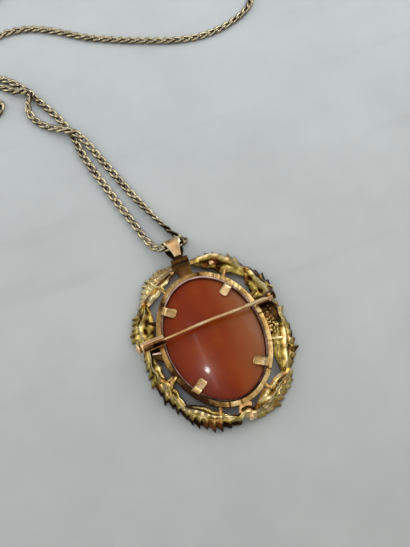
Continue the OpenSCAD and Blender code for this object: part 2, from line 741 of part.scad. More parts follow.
// Middle of the chain from one end of its clasp to the other, and its turn about its own
// run in degrees, for a bail whose fold lies at ROUTE_FOLD. The first and last stretches lie
// beyond the photograph.
chain_end = clasp_l / 2 + clasp_gap;
ROUTE_FOLD = 27.83;
ROUTE = [
    [chain_end, 134, 1.1, 0], [15.5, 133.4, 0.7, 0], [26.5, 131, 0.7, 0], [37, 126.8, 0.7, 0],
    [46.4, 121.2, 0.7, 0], [53.6, 114.2, 0.7, 0], [57.2, 105.6, 0.7, 0], [54, 97, 0.7, 0],
    [48.6, 93.6, 0.7, 0], [42, 91.7, 0.7, 0], [34.5, 91.3, 0.7, 0], [26.6, 93, 0.7, 0],
    [18.4, 96.3, 0.7, 0], [10, 100.2, 0.7, 0], [2, 104.6, 0.7, 0], [-5.6, 110.2, 0.7, 0],
    [-12.8, 114.4, 0.7, 0], [-20.6, 115.7, 0.7, 0], [-26.2, 114.4, 0.7, 0],
    [-30.4, 110.8, 0.7, 0], [-31.6, 106, 0.7, 0], [-29.6, 102.2, 0.7, 0], [-25.6, 99.1, 0.7, 0],
    [-22.5, 95.5, 0.7, 0], [-19.7, 90, 0.7, 0], [-16.9, 84, 0.7, 0], [-14.5, 77.8, 0.7, 0],
    [-13.1, 71.8, 0.7, 0], [-12.8, 66.4, 0.7, 0], [-11.7, 59.8, 0.7, 0], [-10.1, 52.4, 0.7, 0],
    [-8.5, 45.2, 0.75, -10], [-6.9, 38.2, 1, -50], [-5.6, 32.6, 1.1, -60], [-4.8, 30.2, 1.6, -40],
    [-3.8, 28.7, 2.6, -10], [-2.4, 28, 3.3, 0], [0, 27.8, 3.4, 0], [2.4, 27.7, 3.35, 0],
    [3.6, 27.8, 2.9, 0], [4.2, 28.4, 2, -20], [3.6, 29.4, 1.3, -50], [2.2, 31.3, 1.1, -75],
    [0.6, 34.4, 1.1, -80], [-1.4, 39.4, 1.05, -60], [-3.8, 46.4, 0.75, -10], [-6, 53.7, 0.7, 0],
    [-8.1, 61, 0.7, 0], [-9.7, 66.4, 0.9, 0], [-11.1, 70.2, 1.9, 0], [-12.9, 72.8, 2.3, 0],
    [-15.6, 75.2, 1.8, 0], [-18.6, 77.7, 0.9, 0], [-21.4, 81.3, 0.7, 0], [-22.5, 85, 0.7, 20],
    [-22.1, 87, 1.4, 40], [-21.3, 88.2, 2.1, 50], [-20.2, 88.9, 2.5, 55], [-19.6, 90, 2.55, 55],
    [-20.1, 91.1, 2.55, 55], [-21.2, 91.6, 2.5, 55], [-22.6, 92, 2.2, 40], [-24, 93.2, 1.4, 20],
    [-25.5, 95, 0.8, 0], [-27.6, 97.3, 0.7, 0], [-30.6, 98.8, 0.7, 0], [-33.6, 97.4, 0.7, 0],
    [-33, 94.4, 0.7, 0], [-29.6, 92.6, 0.7, 0], [-28.9, 90.2, 0.7, 0], [-30.4, 88.4, 0.7, 0],
    [-34.4, 87, 0.7, 0], [-40.2, 88, 0.7, 0], [-45, 92.8, 0.7, 0], [-46.8, 100.4, 0.7, 0],
    [-44, 109.4, 0.7, 0], [-37.8, 117.8, 0.7, 0], [-28.8, 125.2, 0.7, 0], [-17.4, 131, 0.7, 0],
    [-chain_end, 134, 1.1, 0],
];
route_shift = bail_y + fold_y - ROUTE_FOLD;
CHAIN_SIDES = 8;

function route_way(i) =
    let (
        a = ROUTE[max(i - 1, 0)],
        b = ROUTE[min(i + 1, len(ROUTE) - 1)],
        d = [b[0] - a[0], b[1] - a[1], b[2] - a[2]]
    )
    d / norm(d);

// Ring of points round the chain at a route point, turned by its last value
function chain_ring(i) =
    let (
        p = ROUTE[i],
        way = route_way(i),
        level = cross(way, [0, 0, 1]),
        side = level / norm(level),
        up = cross(side, way),
        wide = cos(p[3]) * side + sin(p[3]) * up,
        thick = cos(p[3]) * up - sin(p[3]) * side
    )
    [
        for (j = [0 : CHAIN_SIDES - 1])
            let (t = 360 * (j + 0.5) / CHAIN_SIDES, grow = 1 / cos(180 / CHAIN_SIDES))
            [p[0], p[1] + route_shift, p[2]]
                + grow * (chain_w / 2 * cos(t) * wide + chain_t / 2 * sin(t) * thick)
    ];

module chain() {
    color("#a08a58")
        polyhedron(
            [for (i = [0 : len(ROUTE) - 1]) each chain_ring(i)],
            tube_faces(len(ROUTE), CHAIN_SIDES)
        );
}

// Plain barrel clasp between the chain's ends
module chain_clasp() {
    clasp_y = ROUTE[0][1] + route_shift;
    color("#a08a58") {
        rod_x(-clasp_l / 2, clasp_y, clasp_d / 2, collar_d / 2, clasp_l);
        rod_x(-clasp_l / 2 + collar_l, clasp_y, clasp_d / 2, clasp_d / 2, clasp_l - 2 * collar_l);
    }
}

cameo_stone();
setting();
brooch_pin();
hinge_rivet();
catch_slide();
bail();
bail_pin();
chain();
chain_clasp();
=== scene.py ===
"""Cameo pendant lying face down on a pale surface, with its brooch pin, bail and curb chain.

Lengths of the part are in millimetres in the CAD part's own frame: +Z up out of the
pendant's back, +Y towards the bail, origin on the surface under the middle of the stone.
Meshes are worked out as whole numpy arrays and scaled to metres when they are stored.
Each point's tone makes its metal brighter above 0 and darker below it; most tones are painted highlights
and painted shade.
"""

import math

import bpy
import numpy as np
from mathutils import Matrix


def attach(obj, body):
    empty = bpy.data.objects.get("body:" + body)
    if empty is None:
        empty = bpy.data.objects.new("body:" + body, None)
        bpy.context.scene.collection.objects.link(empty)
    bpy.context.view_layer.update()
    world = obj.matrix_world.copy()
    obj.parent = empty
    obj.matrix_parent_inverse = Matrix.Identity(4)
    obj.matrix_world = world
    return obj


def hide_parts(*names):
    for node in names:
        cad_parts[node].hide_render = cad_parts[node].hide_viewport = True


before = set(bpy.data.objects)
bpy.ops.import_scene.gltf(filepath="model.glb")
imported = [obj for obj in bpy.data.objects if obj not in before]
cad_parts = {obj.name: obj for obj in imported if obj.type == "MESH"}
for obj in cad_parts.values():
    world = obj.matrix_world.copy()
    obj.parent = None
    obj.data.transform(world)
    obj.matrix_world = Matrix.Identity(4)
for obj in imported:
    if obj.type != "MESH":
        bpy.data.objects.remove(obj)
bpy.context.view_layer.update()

MM = 0.001

# Sizes repeated from the CAD part
STONE_A, STONE_B = 12.1, 16.4
FIELD_Z, EDGE_Z, BACK_RISE, RELIEF_H = 1.3, 3.9, 1.1, 1.05
WALL_GROW, BAND_GROW = 0.08, 1.83
RIM_Z, BAND_Z, BAND_H, GROOVE_D = 4.9, 4.6, 2.0, 0.6
LIP_W, LIP_T, LIP_Z = 0.6, 0.5, 1.22
BAND_A, BAND_B, BAND_W = 13.93, 18.23, 0.85
CLAW_DEG = (43, 138.5, 221, 319)
CLAW_W, CLAW_REACH, CLAW_T = 2.3, 3.4, 0.4
BORDER_W, CREST_Z, RIB_T, INNER_Z, EDGE_T, TOOTH_D = 6.5, 3.9, 1.9, 3.0, 1.1, 1.0
PIN_Y, PIN_Z, HINGE_X = 3.65, 6.6, 16.83
CATCH_X, CATCH_END, CATCH_R, BORE_R = -11.93, -17.93, 1.35, 1.0
MOUTH_DEG = 40.0
HALF_GAP, CHEEK_T, ARM_L = 0.56, 0.45, 1.6
KNUCKLE_D, KNUCKLE_W, KNUCKLE_GAP, RIVET_D = 1.7, 1.0, 0.4, 0.8
BAIL_Y, BAIL_Z, TUBE_R, TUBE_L = 23.03, 3.4, 0.85, 4.6
FOLD_Y, FOLD_R, STRAP_T, STRAP_W = 4.8, 1.8, 0.45, 5.4
PLATE_Z, PLATE_T, PLATE_END = 2.75, 0.8, 22.06


# Meshes: a part is a tuple of points, faces and a tone for each point


def quads(rows, cols, loop_rows=False, loop_cols=True):
    """Faces of a grid of rows x cols points, joined round in either direction."""
    i = np.arange(rows if loop_rows else rows - 1)[:, None]
    j = np.arange(cols if loop_cols else cols - 1)[None, :]
    down, right = (i + 1) % rows, (j + 1) % cols
    grid = [i * cols + j, i * cols + right, down * cols + right, down * cols + j]
    return np.stack(np.broadcast_arrays(*grid), -1).reshape(-1, 4)


def volume(points, faces):
    """Signed volume inside closed faces: the sum of their corner triangles' volumes."""
    total = 0.0
    for f in faces:
        for k in range(1, f.shape[1] - 1):
            a, b, c = points[f[:, 0]], points[f[:, k]], points[f[:, k + 1]]
            total += np.einsum("ij,ij->", a, np.cross(b, c))
    return total / 6


def skin(grid, cap="fan", shade=0.0):
    """A closed body over a grid (rows, cols, 3) whose rows are closed rings.

    cap "fan" closes the two end rings to their middles, "strip" joins each point of the
    first half of an end ring to its fellow in the second half, and "loop" joins the last
    ring to the first. Faces are turned outwards by the sign of the volume.
    """
    rows, cols = grid.shape[:2]
    points = grid.reshape(-1, 3)
    faces = [quads(rows, cols, loop_rows=cap == "loop")]
    tone = np.broadcast_to(shade, (rows, cols)).ravel()
    if cap == "fan":
        j = np.arange(cols)
        n = rows * cols
        points = np.vstack([points, grid[0].mean(0), grid[-1].mean(0)])
        tone = np.append(tone, [tone[0], tone[-1]])
        near = np.stack([np.full(cols, n), (j + 1) % cols, j], -1)
        far = np.stack([np.full(cols, n + 1), n - cols + j, n - cols + (j + 1) % cols], -1)
        faces += [near, far]
    elif cap == "strip":
        j = np.arange(cols // 2 - 1)
        ends = np.stack([j + 1, j, cols - 1 - j, cols - 2 - j], -1)
        faces += [ends, ends[:, ::-1] + (rows - 1) * cols]
    if volume(points, faces) < 0:
        faces = [f[:, ::-1] for f in faces]
    return points, faces, tone


def place(part, matrix=None, move=(0, 0, 0)):
    """A part turned by a 3x3 matrix and then moved."""
    points, faces, tone = part
    if matrix is not None:
        points = points @ np.asarray(matrix).T
        if np.linalg.det(matrix) < 0:
            faces = [f[:, ::-1] for f in faces]
    return points + np.asarray(move, float), faces, tone


def circle(count, shift=0.0):
    """Angles in radians, spaced evenly round a circle and shifted by a share of one step."""
    return 2 * math.pi * (np.arange(count) + shift) / count


def bell(x, middle=0.0, width=1.0):
    """A smooth hump: exp(-d^2), where d is the distance from its middle in widths."""
    return np.exp(-(((x - middle) / width) ** 2))


def superellipse(sides, power):
    """A closed ring |x|^p + |y|^p = 1, started so that its two halves mirror each other."""
    t = circle(sides, 0.5)
    c, s = np.cos(t), np.sin(t)
    return np.stack([np.sign(c) * np.abs(c) ** (2 / power), np.sign(s) * np.abs(s) ** (2 / power)], -1)


def unit(v):
    """Vectors scaled to length 1."""
    return v / np.linalg.norm(v, axis=-1, keepdims=True)


def sweep(path, wide, half_w, half_t, power=3.0, sides=20, shade=0.0):
    """A bar along a path: rounded-box rings of given half width and half thickness.

    wide holds the width's direction at each path point; the thickness stands square to it
    and to the path.
    """
    path = np.asarray(path, float)
    way = unit(np.gradient(path, axis=0))
    wide = unit(np.broadcast_to(np.asarray(wide, float), path.shape))
    wide = unit(wide - (wide * way).sum(-1, keepdims=True) * way)
    thick = np.cross(way, wide)
    ring = superellipse(sides, power)
    half_w = np.broadcast_to(half_w, len(path))[:, None, None]
    half_t = np.broadcast_to(half_t, len(path))[:, None, None]
    wider, thicker = half_w * ring[None, :, :1], half_t * ring[None, :, 1:]
    grid = path[:, None] + wider * wide[:, None] + thicker * thick[:, None]
    return skin(grid, "fan", np.broadcast_to(shade, len(path))[:, None])


def lathe(profile, sides=28, loop=False, shade=0.0):
    """A body turned about the X axis from rows of (x, r). A looped profile makes a tube."""
    x, r = np.asarray(profile, float)[:, :1], np.asarray(profile, float)[:, 1:]
    t = circle(sides)
    grid = np.stack(np.broadcast_arrays(x, r * np.cos(t), r * np.sin(t)), -1)
    return skin(grid, "loop" if loop else "fan", np.broadcast_to(shade, len(x))[:, None])


def slab(outline, z0, z1, bevel=0.1, rings=3, wobble=0.0):
    """A flat plate over a convex outline, with rounded top and bottom edges.

    The outline shrinks by bevel * (1 - sin a) while the height moves by bevel * (1 - cos a),
    for a from 0 to 90 degrees, which rounds the edge. A wobble bends the whole plate up and
    down by wobble * sin(1.9 x + 1.3 y).
    """
    outline = np.asarray(outline, float)
    middle = outline.mean(0)
    reach = np.linalg.norm(outline - middle, axis=1, keepdims=True)
    a = np.linspace(0, math.pi / 2, rings)
    shrink = np.concatenate([bevel * (1 - np.sin(a)), bevel * (1 - np.cos(a))])
    height = np.concatenate([z0 + bevel * (1 - np.cos(a)), z1 - bevel * (1 - np.sin(a))])
    rows = [
        np.hstack([middle + (outline - middle) * (1 - s / reach), np.full((len(outline), 1), h)])
        for s, h in zip(shrink, height)
    ]
    grid = np.array(rows)
    if wobble:
        grid[..., 2] += wobble * np.sin(1.9 * grid[..., 0] + 1.3 * grid[..., 1])
    return skin(grid, "fan")


def brick(x0, x1, y0, y1, z0, z1, bevel=0.1):
    """A box with rounded corners and edges, as a slab over a rounded rectangle."""
    ring = superellipse(32, 9)
    outline = np.array([(x0 + x1) / 2, (y0 + y1) / 2]) + ring * [(x1 - x0) / 2, (y1 - y0) / 2]
    return slab(outline, z0, z1, bevel)


def rounded(corners, radius, steps=4):
    """A closed outline with each corner cut back by radius and bridged by a curve."""
    corners = np.asarray(corners, float)
    before, after = np.roll(corners, 1, 0), np.roll(corners, -1, 0)
    room = np.minimum(np.linalg.norm(before - corners, axis=1), np.linalg.norm(after - corners, axis=1))
    cut = np.minimum(np.broadcast_to(radius, len(corners)), 0.45 * room)[:, None]
    a, b = corners + cut * unit(before - corners), corners + cut * unit(after - corners)
    t = np.linspace(0, 1, steps)[None, :, None]
    curve = (1 - t) ** 2 * a[:, None] + 2 * t * (1 - t) * corners[:, None] + t * t * b[:, None]
    return curve.reshape(-1, 2)


def make(name, parts, material, body, nodes, sharp=38.0):
    """One Blender object from closed parts, riding on a body in place of CAD nodes.

    Edges that bend by more than sharp degrees are shaded as creases.
    """
    points, faces, tone, base = [], [], [], 0
    for p, fs, s in parts:
        points.append(p)
        tone.append(s)
        faces += [f + base for f in fs]
        base += len(p)
    counts = np.concatenate([np.full(len(f), f.shape[1]) for f in faces])
    corners = np.concatenate([f.ravel() for f in faces])
    mesh = bpy.data.meshes.new(name)
    mesh.vertices.add(base)
    mesh.vertices.foreach_set("co", (np.vstack(points) * MM).ravel())
    mesh.loops.add(len(corners))
    mesh.loops.foreach_set("vertex_index", corners.astype(np.int32))
    mesh.polygons.add(len(counts))
    mesh.polygons.foreach_set("loop_start", (np.cumsum(counts) - counts).astype(np.int32))
    mesh.update(calc_edges=True)
    mesh.polygons.foreach_set("use_smooth", np.ones(len(counts), bool))
    layer = mesh.attributes.new("tone", "FLOAT", "POINT")
    layer.data.foreach_set("value", np.concatenate(tone).astype(np.float32))
    mesh.set_sharp_from_angle(angle=math.radians(sharp))
    mesh.materials.append(material)
    obj = bpy.data.objects.new(name, mesh)
    bpy.context.scene.collection.objects.link(obj)
    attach(obj, body)
    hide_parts(*nodes)


def setting(name, parts, material, sharp=38.0):
    """A piece of the soldered setting."""
    make(name, parts, material, "pendant", ["setting"], sharp)


# Materials


class Nodes:
    """Adds and links the nodes of one material round one Principled shader."""

    def __init__(self, name):
        self.material = bpy.data.materials.new(name)
        self.material.use_nodes = True
        self.tree = self.material.node_tree
        self.tree.nodes.clear()
        self.shader = self.new("ShaderNodeBsdfPrincipled")
        self.link(self.shader.outputs[0], self.new("ShaderNodeOutputMaterial").inputs["Surface"])
        self.where = self.new("ShaderNodeTexCoord").outputs["Object"]

    def new(self, kind):
        return self.tree.nodes.new(kind)

    def link(self, a, b):
        self.tree.links.new(a, b)

    def put(self, socket, value):
        """Give a socket a link where the value is a socket, and else the value itself."""
        if isinstance(value, bpy.types.NodeSocket):
            self.link(value, socket)
        else:
            socket.default_value = value

    def noise(self, scale, detail=3.0, rough=0.55, stretch=None, seed=0.0):
        """Noise on object coordinates, its scale in features per millimetre."""
        spread = self.new("ShaderNodeMapping")
        self.link(self.where, spread.inputs["Vector"])
        spread.inputs["Scale"].default_value = np.array(stretch or (1, 1, 1), float) * scale / MM
        spread.inputs["Location"].default_value = (seed, 1.7 * seed, 0.6 * seed)
        node = self.new("ShaderNodeTexNoise")
        self.link(spread.outputs[0], node.inputs["Vector"])
        node.inputs["Scale"].default_value = 1.0
        node.inputs["Detail"].default_value = detail
        node.inputs["Roughness"].default_value = rough
        return node.outputs["Fac"]

    def ramp(self, value, stops):
        """Colours or greys at places along a value."""
        node = self.new("ShaderNodeValToRGB")
        self.link(value, node.inputs["Fac"])
        band = node.color_ramp
        while len(band.elements) < len(stops):
            band.elements.new(0.5)
        for item, (at, colour) in zip(band.elements, stops):
            item.position = at
            item.color = (*colour, 1) if isinstance(colour, tuple) else (colour,) * 3 + (1,)
        return node.outputs["Color"]

    def span(self, value, a0, a1, b0, b1):
        """A value from a0 to a1 carried over to b0 to b1, and held at both ends."""
        node = self.new("ShaderNodeMapRange")
        self.put(node.inputs["Value"], value)
        for key, v in zip(("From Min", "From Max", "To Min", "To Max"), (a0, a1, b0, b1)):
            node.inputs[key].default_value = v
        return node.outputs["Result"]

    def sum(self, a, b, operation="ADD"):
        """Two values added, or joined by another operation."""
        node = self.new("ShaderNodeMath")
        node.operation = operation
        self.put(node.inputs[0], a)
        self.put(node.inputs[1], b)
        return node.outputs[0]

    def mix(self, amount, a, b, kind="MIX"):
        """Colour a with an amount of colour b in it."""
        node = self.new("ShaderNodeMix")
        node.data_type = "RGBA"
        node.blend_type = kind
        self.put(node.inputs[0], amount)
        for socket, value in ((node.inputs[6], a), (node.inputs[7], b)):
            self.put(socket, (*value, 1) if isinstance(value, tuple) else value)
        return node.outputs[2]

    def axis(self, which):
        """One of the object's own coordinates."""
        node = self.new("ShaderNodeSeparateXYZ")
        self.link(self.where, node.inputs[0])
        return node.outputs["XYZ".index(which)]

    def tone(self):
        """The mesh's tone, which mostly carries painted highlights and painted shade."""
        node = self.new("ShaderNodeAttribute")
        node.attribute_name = "tone"
        return node.outputs["Fac"]

    def fix(self, values):
        """Set sockets of the shader to constants."""
        for key, value in values.items():
            self.shader.inputs[key].default_value = value

    def bump(self, layers):
        """Bumps laid over each other: rows of (height, strength, distance in mm)."""
        normal = None
        for height, strength, distance in layers:
            node = self.new("ShaderNodeBump")
            node.inputs["Strength"].default_value = strength
            node.inputs["Distance"].default_value = distance * MM
            self.link(height, node.inputs["Height"])
            if normal is not None:
                self.link(normal, node.inputs["Normal"])
            normal = node.outputs[0]
        self.link(normal, self.shader.inputs["Normal"])


def srgb(code):
    """Linear colour of a six-digit code."""
    c = np.array([int(code[i : i + 2], 16) for i in (0, 2, 4)]) / 255
    return tuple(float(x) for x in np.where(c < 0.04045, c / 12.92, ((c + 0.055) / 1.055) ** 2.4))


def metal(name, dark, mid, bright, rough=0.3, patch=0.35, grain=2.2, dents=0.35, seed=0.0, stain=None):
    """Worn cast metal: patches of tarnish, bright where tone is above 0 and dark below it
    (mostly painted highlights and painted shade), a fine grain with hairline scratches,
    shallow dents, and soft spots of a stain's colour.

    patch and grain are features per millimetre, rough and dents are strengths.
    """
    m = Nodes(name)
    patches = m.span(m.noise(patch, 4.0, 0.6, seed=seed), 0, 1, 0.13, 0.89)
    fine = m.noise(grain, 3.0, 0.6, seed=seed + 3)
    tone = m.tone()
    level = m.sum(m.sum(patches, m.span(fine, 0, 1, -0.07, 0.07)), m.span(tone, -1, 1, -0.4, 0.4))
    colour = m.ramp(level, [(0.25, srgb(dark)), (0.48, srgb(mid)), (0.75, srgb(bright))])
    if stain:
        spots = m.span(m.noise(0.22, 2.0, 0.5, seed=seed + 17), 0.52, 0.64, 0.0, 0.8)
        colour = m.mix(spots, colour, m.mix(0.6, colour, srgb(stain)))
    m.link(colour, m.shader.inputs["Base Color"])
    m.fix({"Metallic": 1.0})
    worn = m.sum(m.span(fine, 0.3, 0.7, rough - 0.09, rough + 0.14), m.span(tone, -1, 1, 0.16, -0.1))
    m.link(worn, m.shader.inputs["Roughness"])
    scratch = m.noise(0.35, 2.0, 0.5, stretch=(1.0, 16.0, 1.0), seed=seed + 7)
    dent = m.noise(0.8, 2.0, 0.5, seed=seed + 11)
    m.bump([(dent, dents, 0.12), (fine, 0.05, 0.015), (scratch, 0.05, 0.01)])
    return m.material


LEAF = metal("wreath_gold", "301606", "bea450", "ffeab0", 0.25, 0.45, dents=0.28, stain="b8703a")
BAND = metal("band_gold", "3c2412", "bc9252", "fce0a2", 0.3, 0.3, dents=0.28, seed=4.0)
RIM = metal("rim_gold", "3a2620", "886a5e", "e0c4b8", rough=0.42, dents=0.05, seed=6.0)
CLAW = metal("claw_gold", "5a3f22", "b4925c", "ecd0a4", rough=0.28, dents=0.12, seed=9.0)
PIN = metal("pin_gold", "5a3218", "dea86c", "ffdfae", 0.34, 0.2, dents=0.03, seed=13.0)
HINGE = metal("hinge_gold", "2a180c", "6e4a2e", "d8ac80", 0.27, 0.5, dents=0.1, seed=15.0)
BAIL = metal("bail_gold", "3a2414", "e4b87c", "ffecc8", 0.34, 0.35, dents=0.07, seed=17.0)
# A darker copy of the gold for parts that lie in shade: painted shade.
SHADED_GOLD = metal("shaded_gold", "160e06", "4c3418", "8c6438", rough=0.36, dents=0.4, seed=21.0)
CHAIN = metal("chain_brass", "120d08", "5c4e38", "ccbe9c", 0.28, 0.25, dents=0.06, seed=25.0)


def stone_material():
    """Translucent orange-brown stone: a deep body with clouds and faint bands, which turns
    lighter and then paler towards +X, under a polish."""
    m = Nodes("banded_stone")
    cloud = m.noise(0.11, 3.0, 0.5, seed=2.0)
    band = m.noise(0.06, 2.0, 0.4, stretch=(3.2, 0.7, 1.0), seed=5.0)
    body = m.ramp(
        m.sum(m.span(cloud, 0, 1, 0, 0.6), m.span(band, 0, 1, 0, 0.4)),
        [(0.3, srgb("7a260a")), (0.5, srgb("8c320a")), (0.72, srgb("a0480c"))],
    )
    across = m.sum(m.axis("X"), m.span(band, 0, 1, -2.0 * MM, 2.0 * MM))
    across = m.sum(across, m.span(m.axis("Y"), -15 * MM, 15 * MM, 2.5 * MM, -0.5 * MM))
    body = m.mix(m.span(across, -1.5 * MM, 6.0 * MM, 0.0, 0.5), body, srgb("a24a12"))
    pale = m.span(across, 3.0 * MM, 11.5 * MM, 0.0, 0.75)
    body = m.mix(pale, body, srgb("a0673a"))
    m.link(body, m.shader.inputs["Base Color"])
    m.fix({
        "Roughness": 0.2, "Specular IOR Level": 0.14, "Coat Weight": 0.14, "Coat Roughness": 0.05,
        "Subsurface Weight": 0.7, "Subsurface Radius": (1.0, 0.35, 0.12), "Subsurface Scale": 4.0 * MM,
    })
    m.bump([
        (m.noise(0.25, 2.0, 0.5, seed=8.0), 0.08, 0.05),
        (m.noise(1.8, 3.0, 0.6, seed=9.0), 0.06, 0.012),
    ])
    return m.material


STONE = stone_material()


# Stone


def oval(phi, grow=0.0):
    """A place on an oval that grows evenly round the stone's, for phi in radians."""
    return np.stack([(STONE_A + grow) * np.cos(phi), (STONE_B + grow) * np.sin(phi)], -1)


# The relief repeats the CAD part's, in shares of STONE_A. PETALS: count, ring's radius,
# petal's radius, height, first angle. FLOWERS: x, y, size, height. SPRAY, the long leaves
# round them: x, y, length, width, angle.
PETALS = [
    [5, 0.34, 0.25, 0.62, 90], [5, 0.20, 0.20, 0.80, 54],
    [3, 0.10, 0.13, 0.92, 90], [1, 0.00, 0.07, 1.00, 0],
]
FLOWERS = [
    [0.00, 0.05, 1.00, 1.0], [-0.36, 0.72, 0.52, 0.7],
    [0.38, 0.66, 0.46, 0.7], [0.02, -0.72, 0.55, 0.7],
]
SPRAY = [
    [-0.55, 0.28, 0.28, 0.12, 150], [0.57, 0.22, 0.28, 0.12, 28],
    [-0.52, -0.36, 0.28, 0.12, 215], [0.52, -0.38, 0.28, 0.12, 325],
    [0.02, 0.93, 0.22, 0.10, 90], [-0.26, -1.02, 0.24, 0.10, 240],
    [0.30, -1.02, 0.24, 0.10, 300], [-0.68, 0.62, 0.20, 0.09, 120],
    [0.66, 0.60, 0.20, 0.09, 60],
]


def lump(d):
    """Height of a rounded lump at distance d from its middle, as a share of its own."""
    return np.sqrt(np.clip(1 - d * d, 0, None))


def relief(x, y):
    """Height of the carved flower spray over the front field: the highest of its lumps.

    Each petal also has a shallow fold that runs out from its flower's middle, and each leaf
    one along its length.
    """
    u, v = -x / STONE_A, y / STONE_A
    top = np.zeros_like(u)
    for fx, fy, size, height in FLOWERS:
        for count, ring, radius, rise, first in PETALS:
            for k in range(count):
                t = math.radians(first + 360 * k / count)
                du, dv = u - fx - size * ring * math.cos(t), v - fy - size * ring * math.sin(t)
                side = (dv * math.cos(t) - du * math.sin(t)) / (size * radius)
                fold = 1 - 0.1 * bell(side, 0, 0.16) if count > 1 else 1.0
                top = np.maximum(top, height * rise * lump(np.hypot(du, dv) / (size * radius)) * fold)
    for fx, fy, length, width, deg in SPRAY:
        c, s = math.cos(math.radians(deg)), math.sin(math.radians(deg))
        along = (c * (u - fx) + s * (v - fy)) / length
        side = (c * (v - fy) - s * (u - fx)) / width
        fold = 1 - 0.18 * bell(side, 0, 0.2) - 0.07 * np.sin(16 * along + 5 * np.abs(side)) ** 2
        top = np.maximum(top, 0.45 * lump(np.hypot(along, side)) * fold)
    return RELIEF_H * top


def stone():
    """Front field with its relief, a straight edge with small chamfers, and a domed back
    whose height at a share r of the oval is EDGE_Z + BACK_RISE * (1 - r^2)."""
    phi = circle(240)

    def ring(r, z):
        return np.column_stack([oval(phi) * r, z + 0 * phi])

    front = [ring(r, FIELD_Z - relief(*(oval(phi) * r).T)) for r in np.linspace(0.004, 0.985, 110)]
    edge = [(0.995, FIELD_Z + 0.06), (1.0, FIELD_Z + 0.2), (1.0, EDGE_Z - 0.25), (0.996, EDGE_Z - 0.06)]
    dome = [(r, EDGE_Z + BACK_RISE * (1 - r * r)) for r in np.sqrt(np.linspace(0.985, 0.0, 60))[:-1]]
    back = [ring(r, z) for r, z in [*edge, *dome, (0.003, EDGE_Z + BACK_RISE)]]
    return skin(np.array(front + back), "fan")


make("carved_stone", [stone()], STONE, "pendant", ["cameo_stone"], sharp=60)


# Bezel and claws


def ripple(phi, seeds, size):
    """A small smooth unevenness round the oval: a sum of waves with whole numbers of turns."""
    total = sum(np.sin(k * phi + 1.7 * k) / (1 + 0.15 * k) for k in seeds)
    return size * total / math.sqrt(len(seeds))


# Where the rim ends and the band begins, beyond the stone, and the angles of the dark seams
RIM_IN, BAND_IN = 0.5, 0.6
SEAM_DEG = (4, 61, 78, 256, 269, 314, 339)


def around(corners, radius):
    """A closed ring of metal: an outline (distance beyond the stone, height) with rounded
    corners, run round the oval.

    Above 2 mm it wanders slightly, as made by hand, and the band's top is hammered at the
    upper right by 0.06 sin(47 phi) sin(31 phi + 1). In tone the groove is dark with painted
    shade, the rim has a painted highlight at its top end and painted shade at its bottom, and
    the band has narrow dark seams and is dull at the left with painted shade over a random mottle.
    """
    ring = rounded(corners, radius, 6)
    phi = circle(420)[:, None]
    beyond, height = ring[None, :, 0], ring[None, :, 1]
    grow = beyond + ripple(phi, (3, 7, 11, 17), 0.03) * (height > 2)
    z = height + ripple(phi, (4, 9, 13, 23, 31), 0.035) * np.clip((height - 2.6) / 2, 0, 1)
    hammered = 0.06 * np.sin(47 * phi) * np.sin(31 * phi + 1) * bell(phi, 0.95, 0.45)
    z = z + hammered * (beyond > RIM_IN + 0.2) * (height > BAND_Z - 0.3)
    grid = np.concatenate([oval(phi, grow), z[..., None]], -1)
    # Painted shade in the groove between rim and band.
    groove = -1.0 * (height < BAND_Z - 0.1) * (beyond < BAND_IN + 0.02)
    # Painted highlight on the rim's top end and painted shade on its lower half.
    lit = 0.7 * np.sin(phi) ** 3 * (beyond < BAND_IN) - 0.1
    # Painted shade over the band's left side, with a random mottle added.
    dull = 1.1 * bell(phi, math.radians(222), 0.6) + 0.45 * bell(phi, 2.6, 0.5)
    dull = dull + 0.5 * bell(phi, 1.5, 0.3) + 0.3 * ripple(phi, (5, 8, 13, 21), 1.0)
    seams = sum(bell(phi, math.radians(deg), 0.011) for deg in SEAM_DEG)
    band_tone = (beyond > BAND_IN + 0.05) * (0.3 - dull - 1.0 * seams)
    return skin(grid, "loop", groove + lit + band_tone)


def rim():
    """Front lip, inner wall and dull half-round rim."""
    corners = [
        (-LIP_W, FIELD_Z - LIP_T), (RIM_IN, FIELD_Z - LIP_T), (RIM_IN, RIM_Z),
        (WALL_GROW, RIM_Z), (WALL_GROW, LIP_Z), (-LIP_W, LIP_Z),
    ]
    return around(corners, [0.15, 0.12, 0.14, 0.2, 0.03, 0.15])


def band():
    """Flat outer band, with the dark groove between it and the rim."""
    corners = [
        (RIM_IN - 0.1, BAND_Z - BAND_H), (BAND_GROW, BAND_Z - BAND_H), (BAND_GROW, BAND_Z),
        (BAND_IN, BAND_Z + 0.12), (BAND_IN - 0.03, BAND_Z - GROOVE_D), (RIM_IN - 0.1, BAND_Z - GROOVE_D),
    ]
    return around(corners, [0.04, 0.2, 0.16, 0.12, 0.04, 0.04])


def wall():
    """The bezel's flared wall below the band, seen through the gaps at the lower left."""
    low, high = FIELD_Z - LIP_T + 0.1, BAND_Z - BAND_H + 0.1
    corners = [(RIM_IN - 0.1, low), (1.35, low), (1.7, high), (RIM_IN - 0.1, high)]
    points, faces, tone = around(corners, [0.04, 0.15, 0.1, 0.04])
    return points, faces, 0 * tone - 0.1


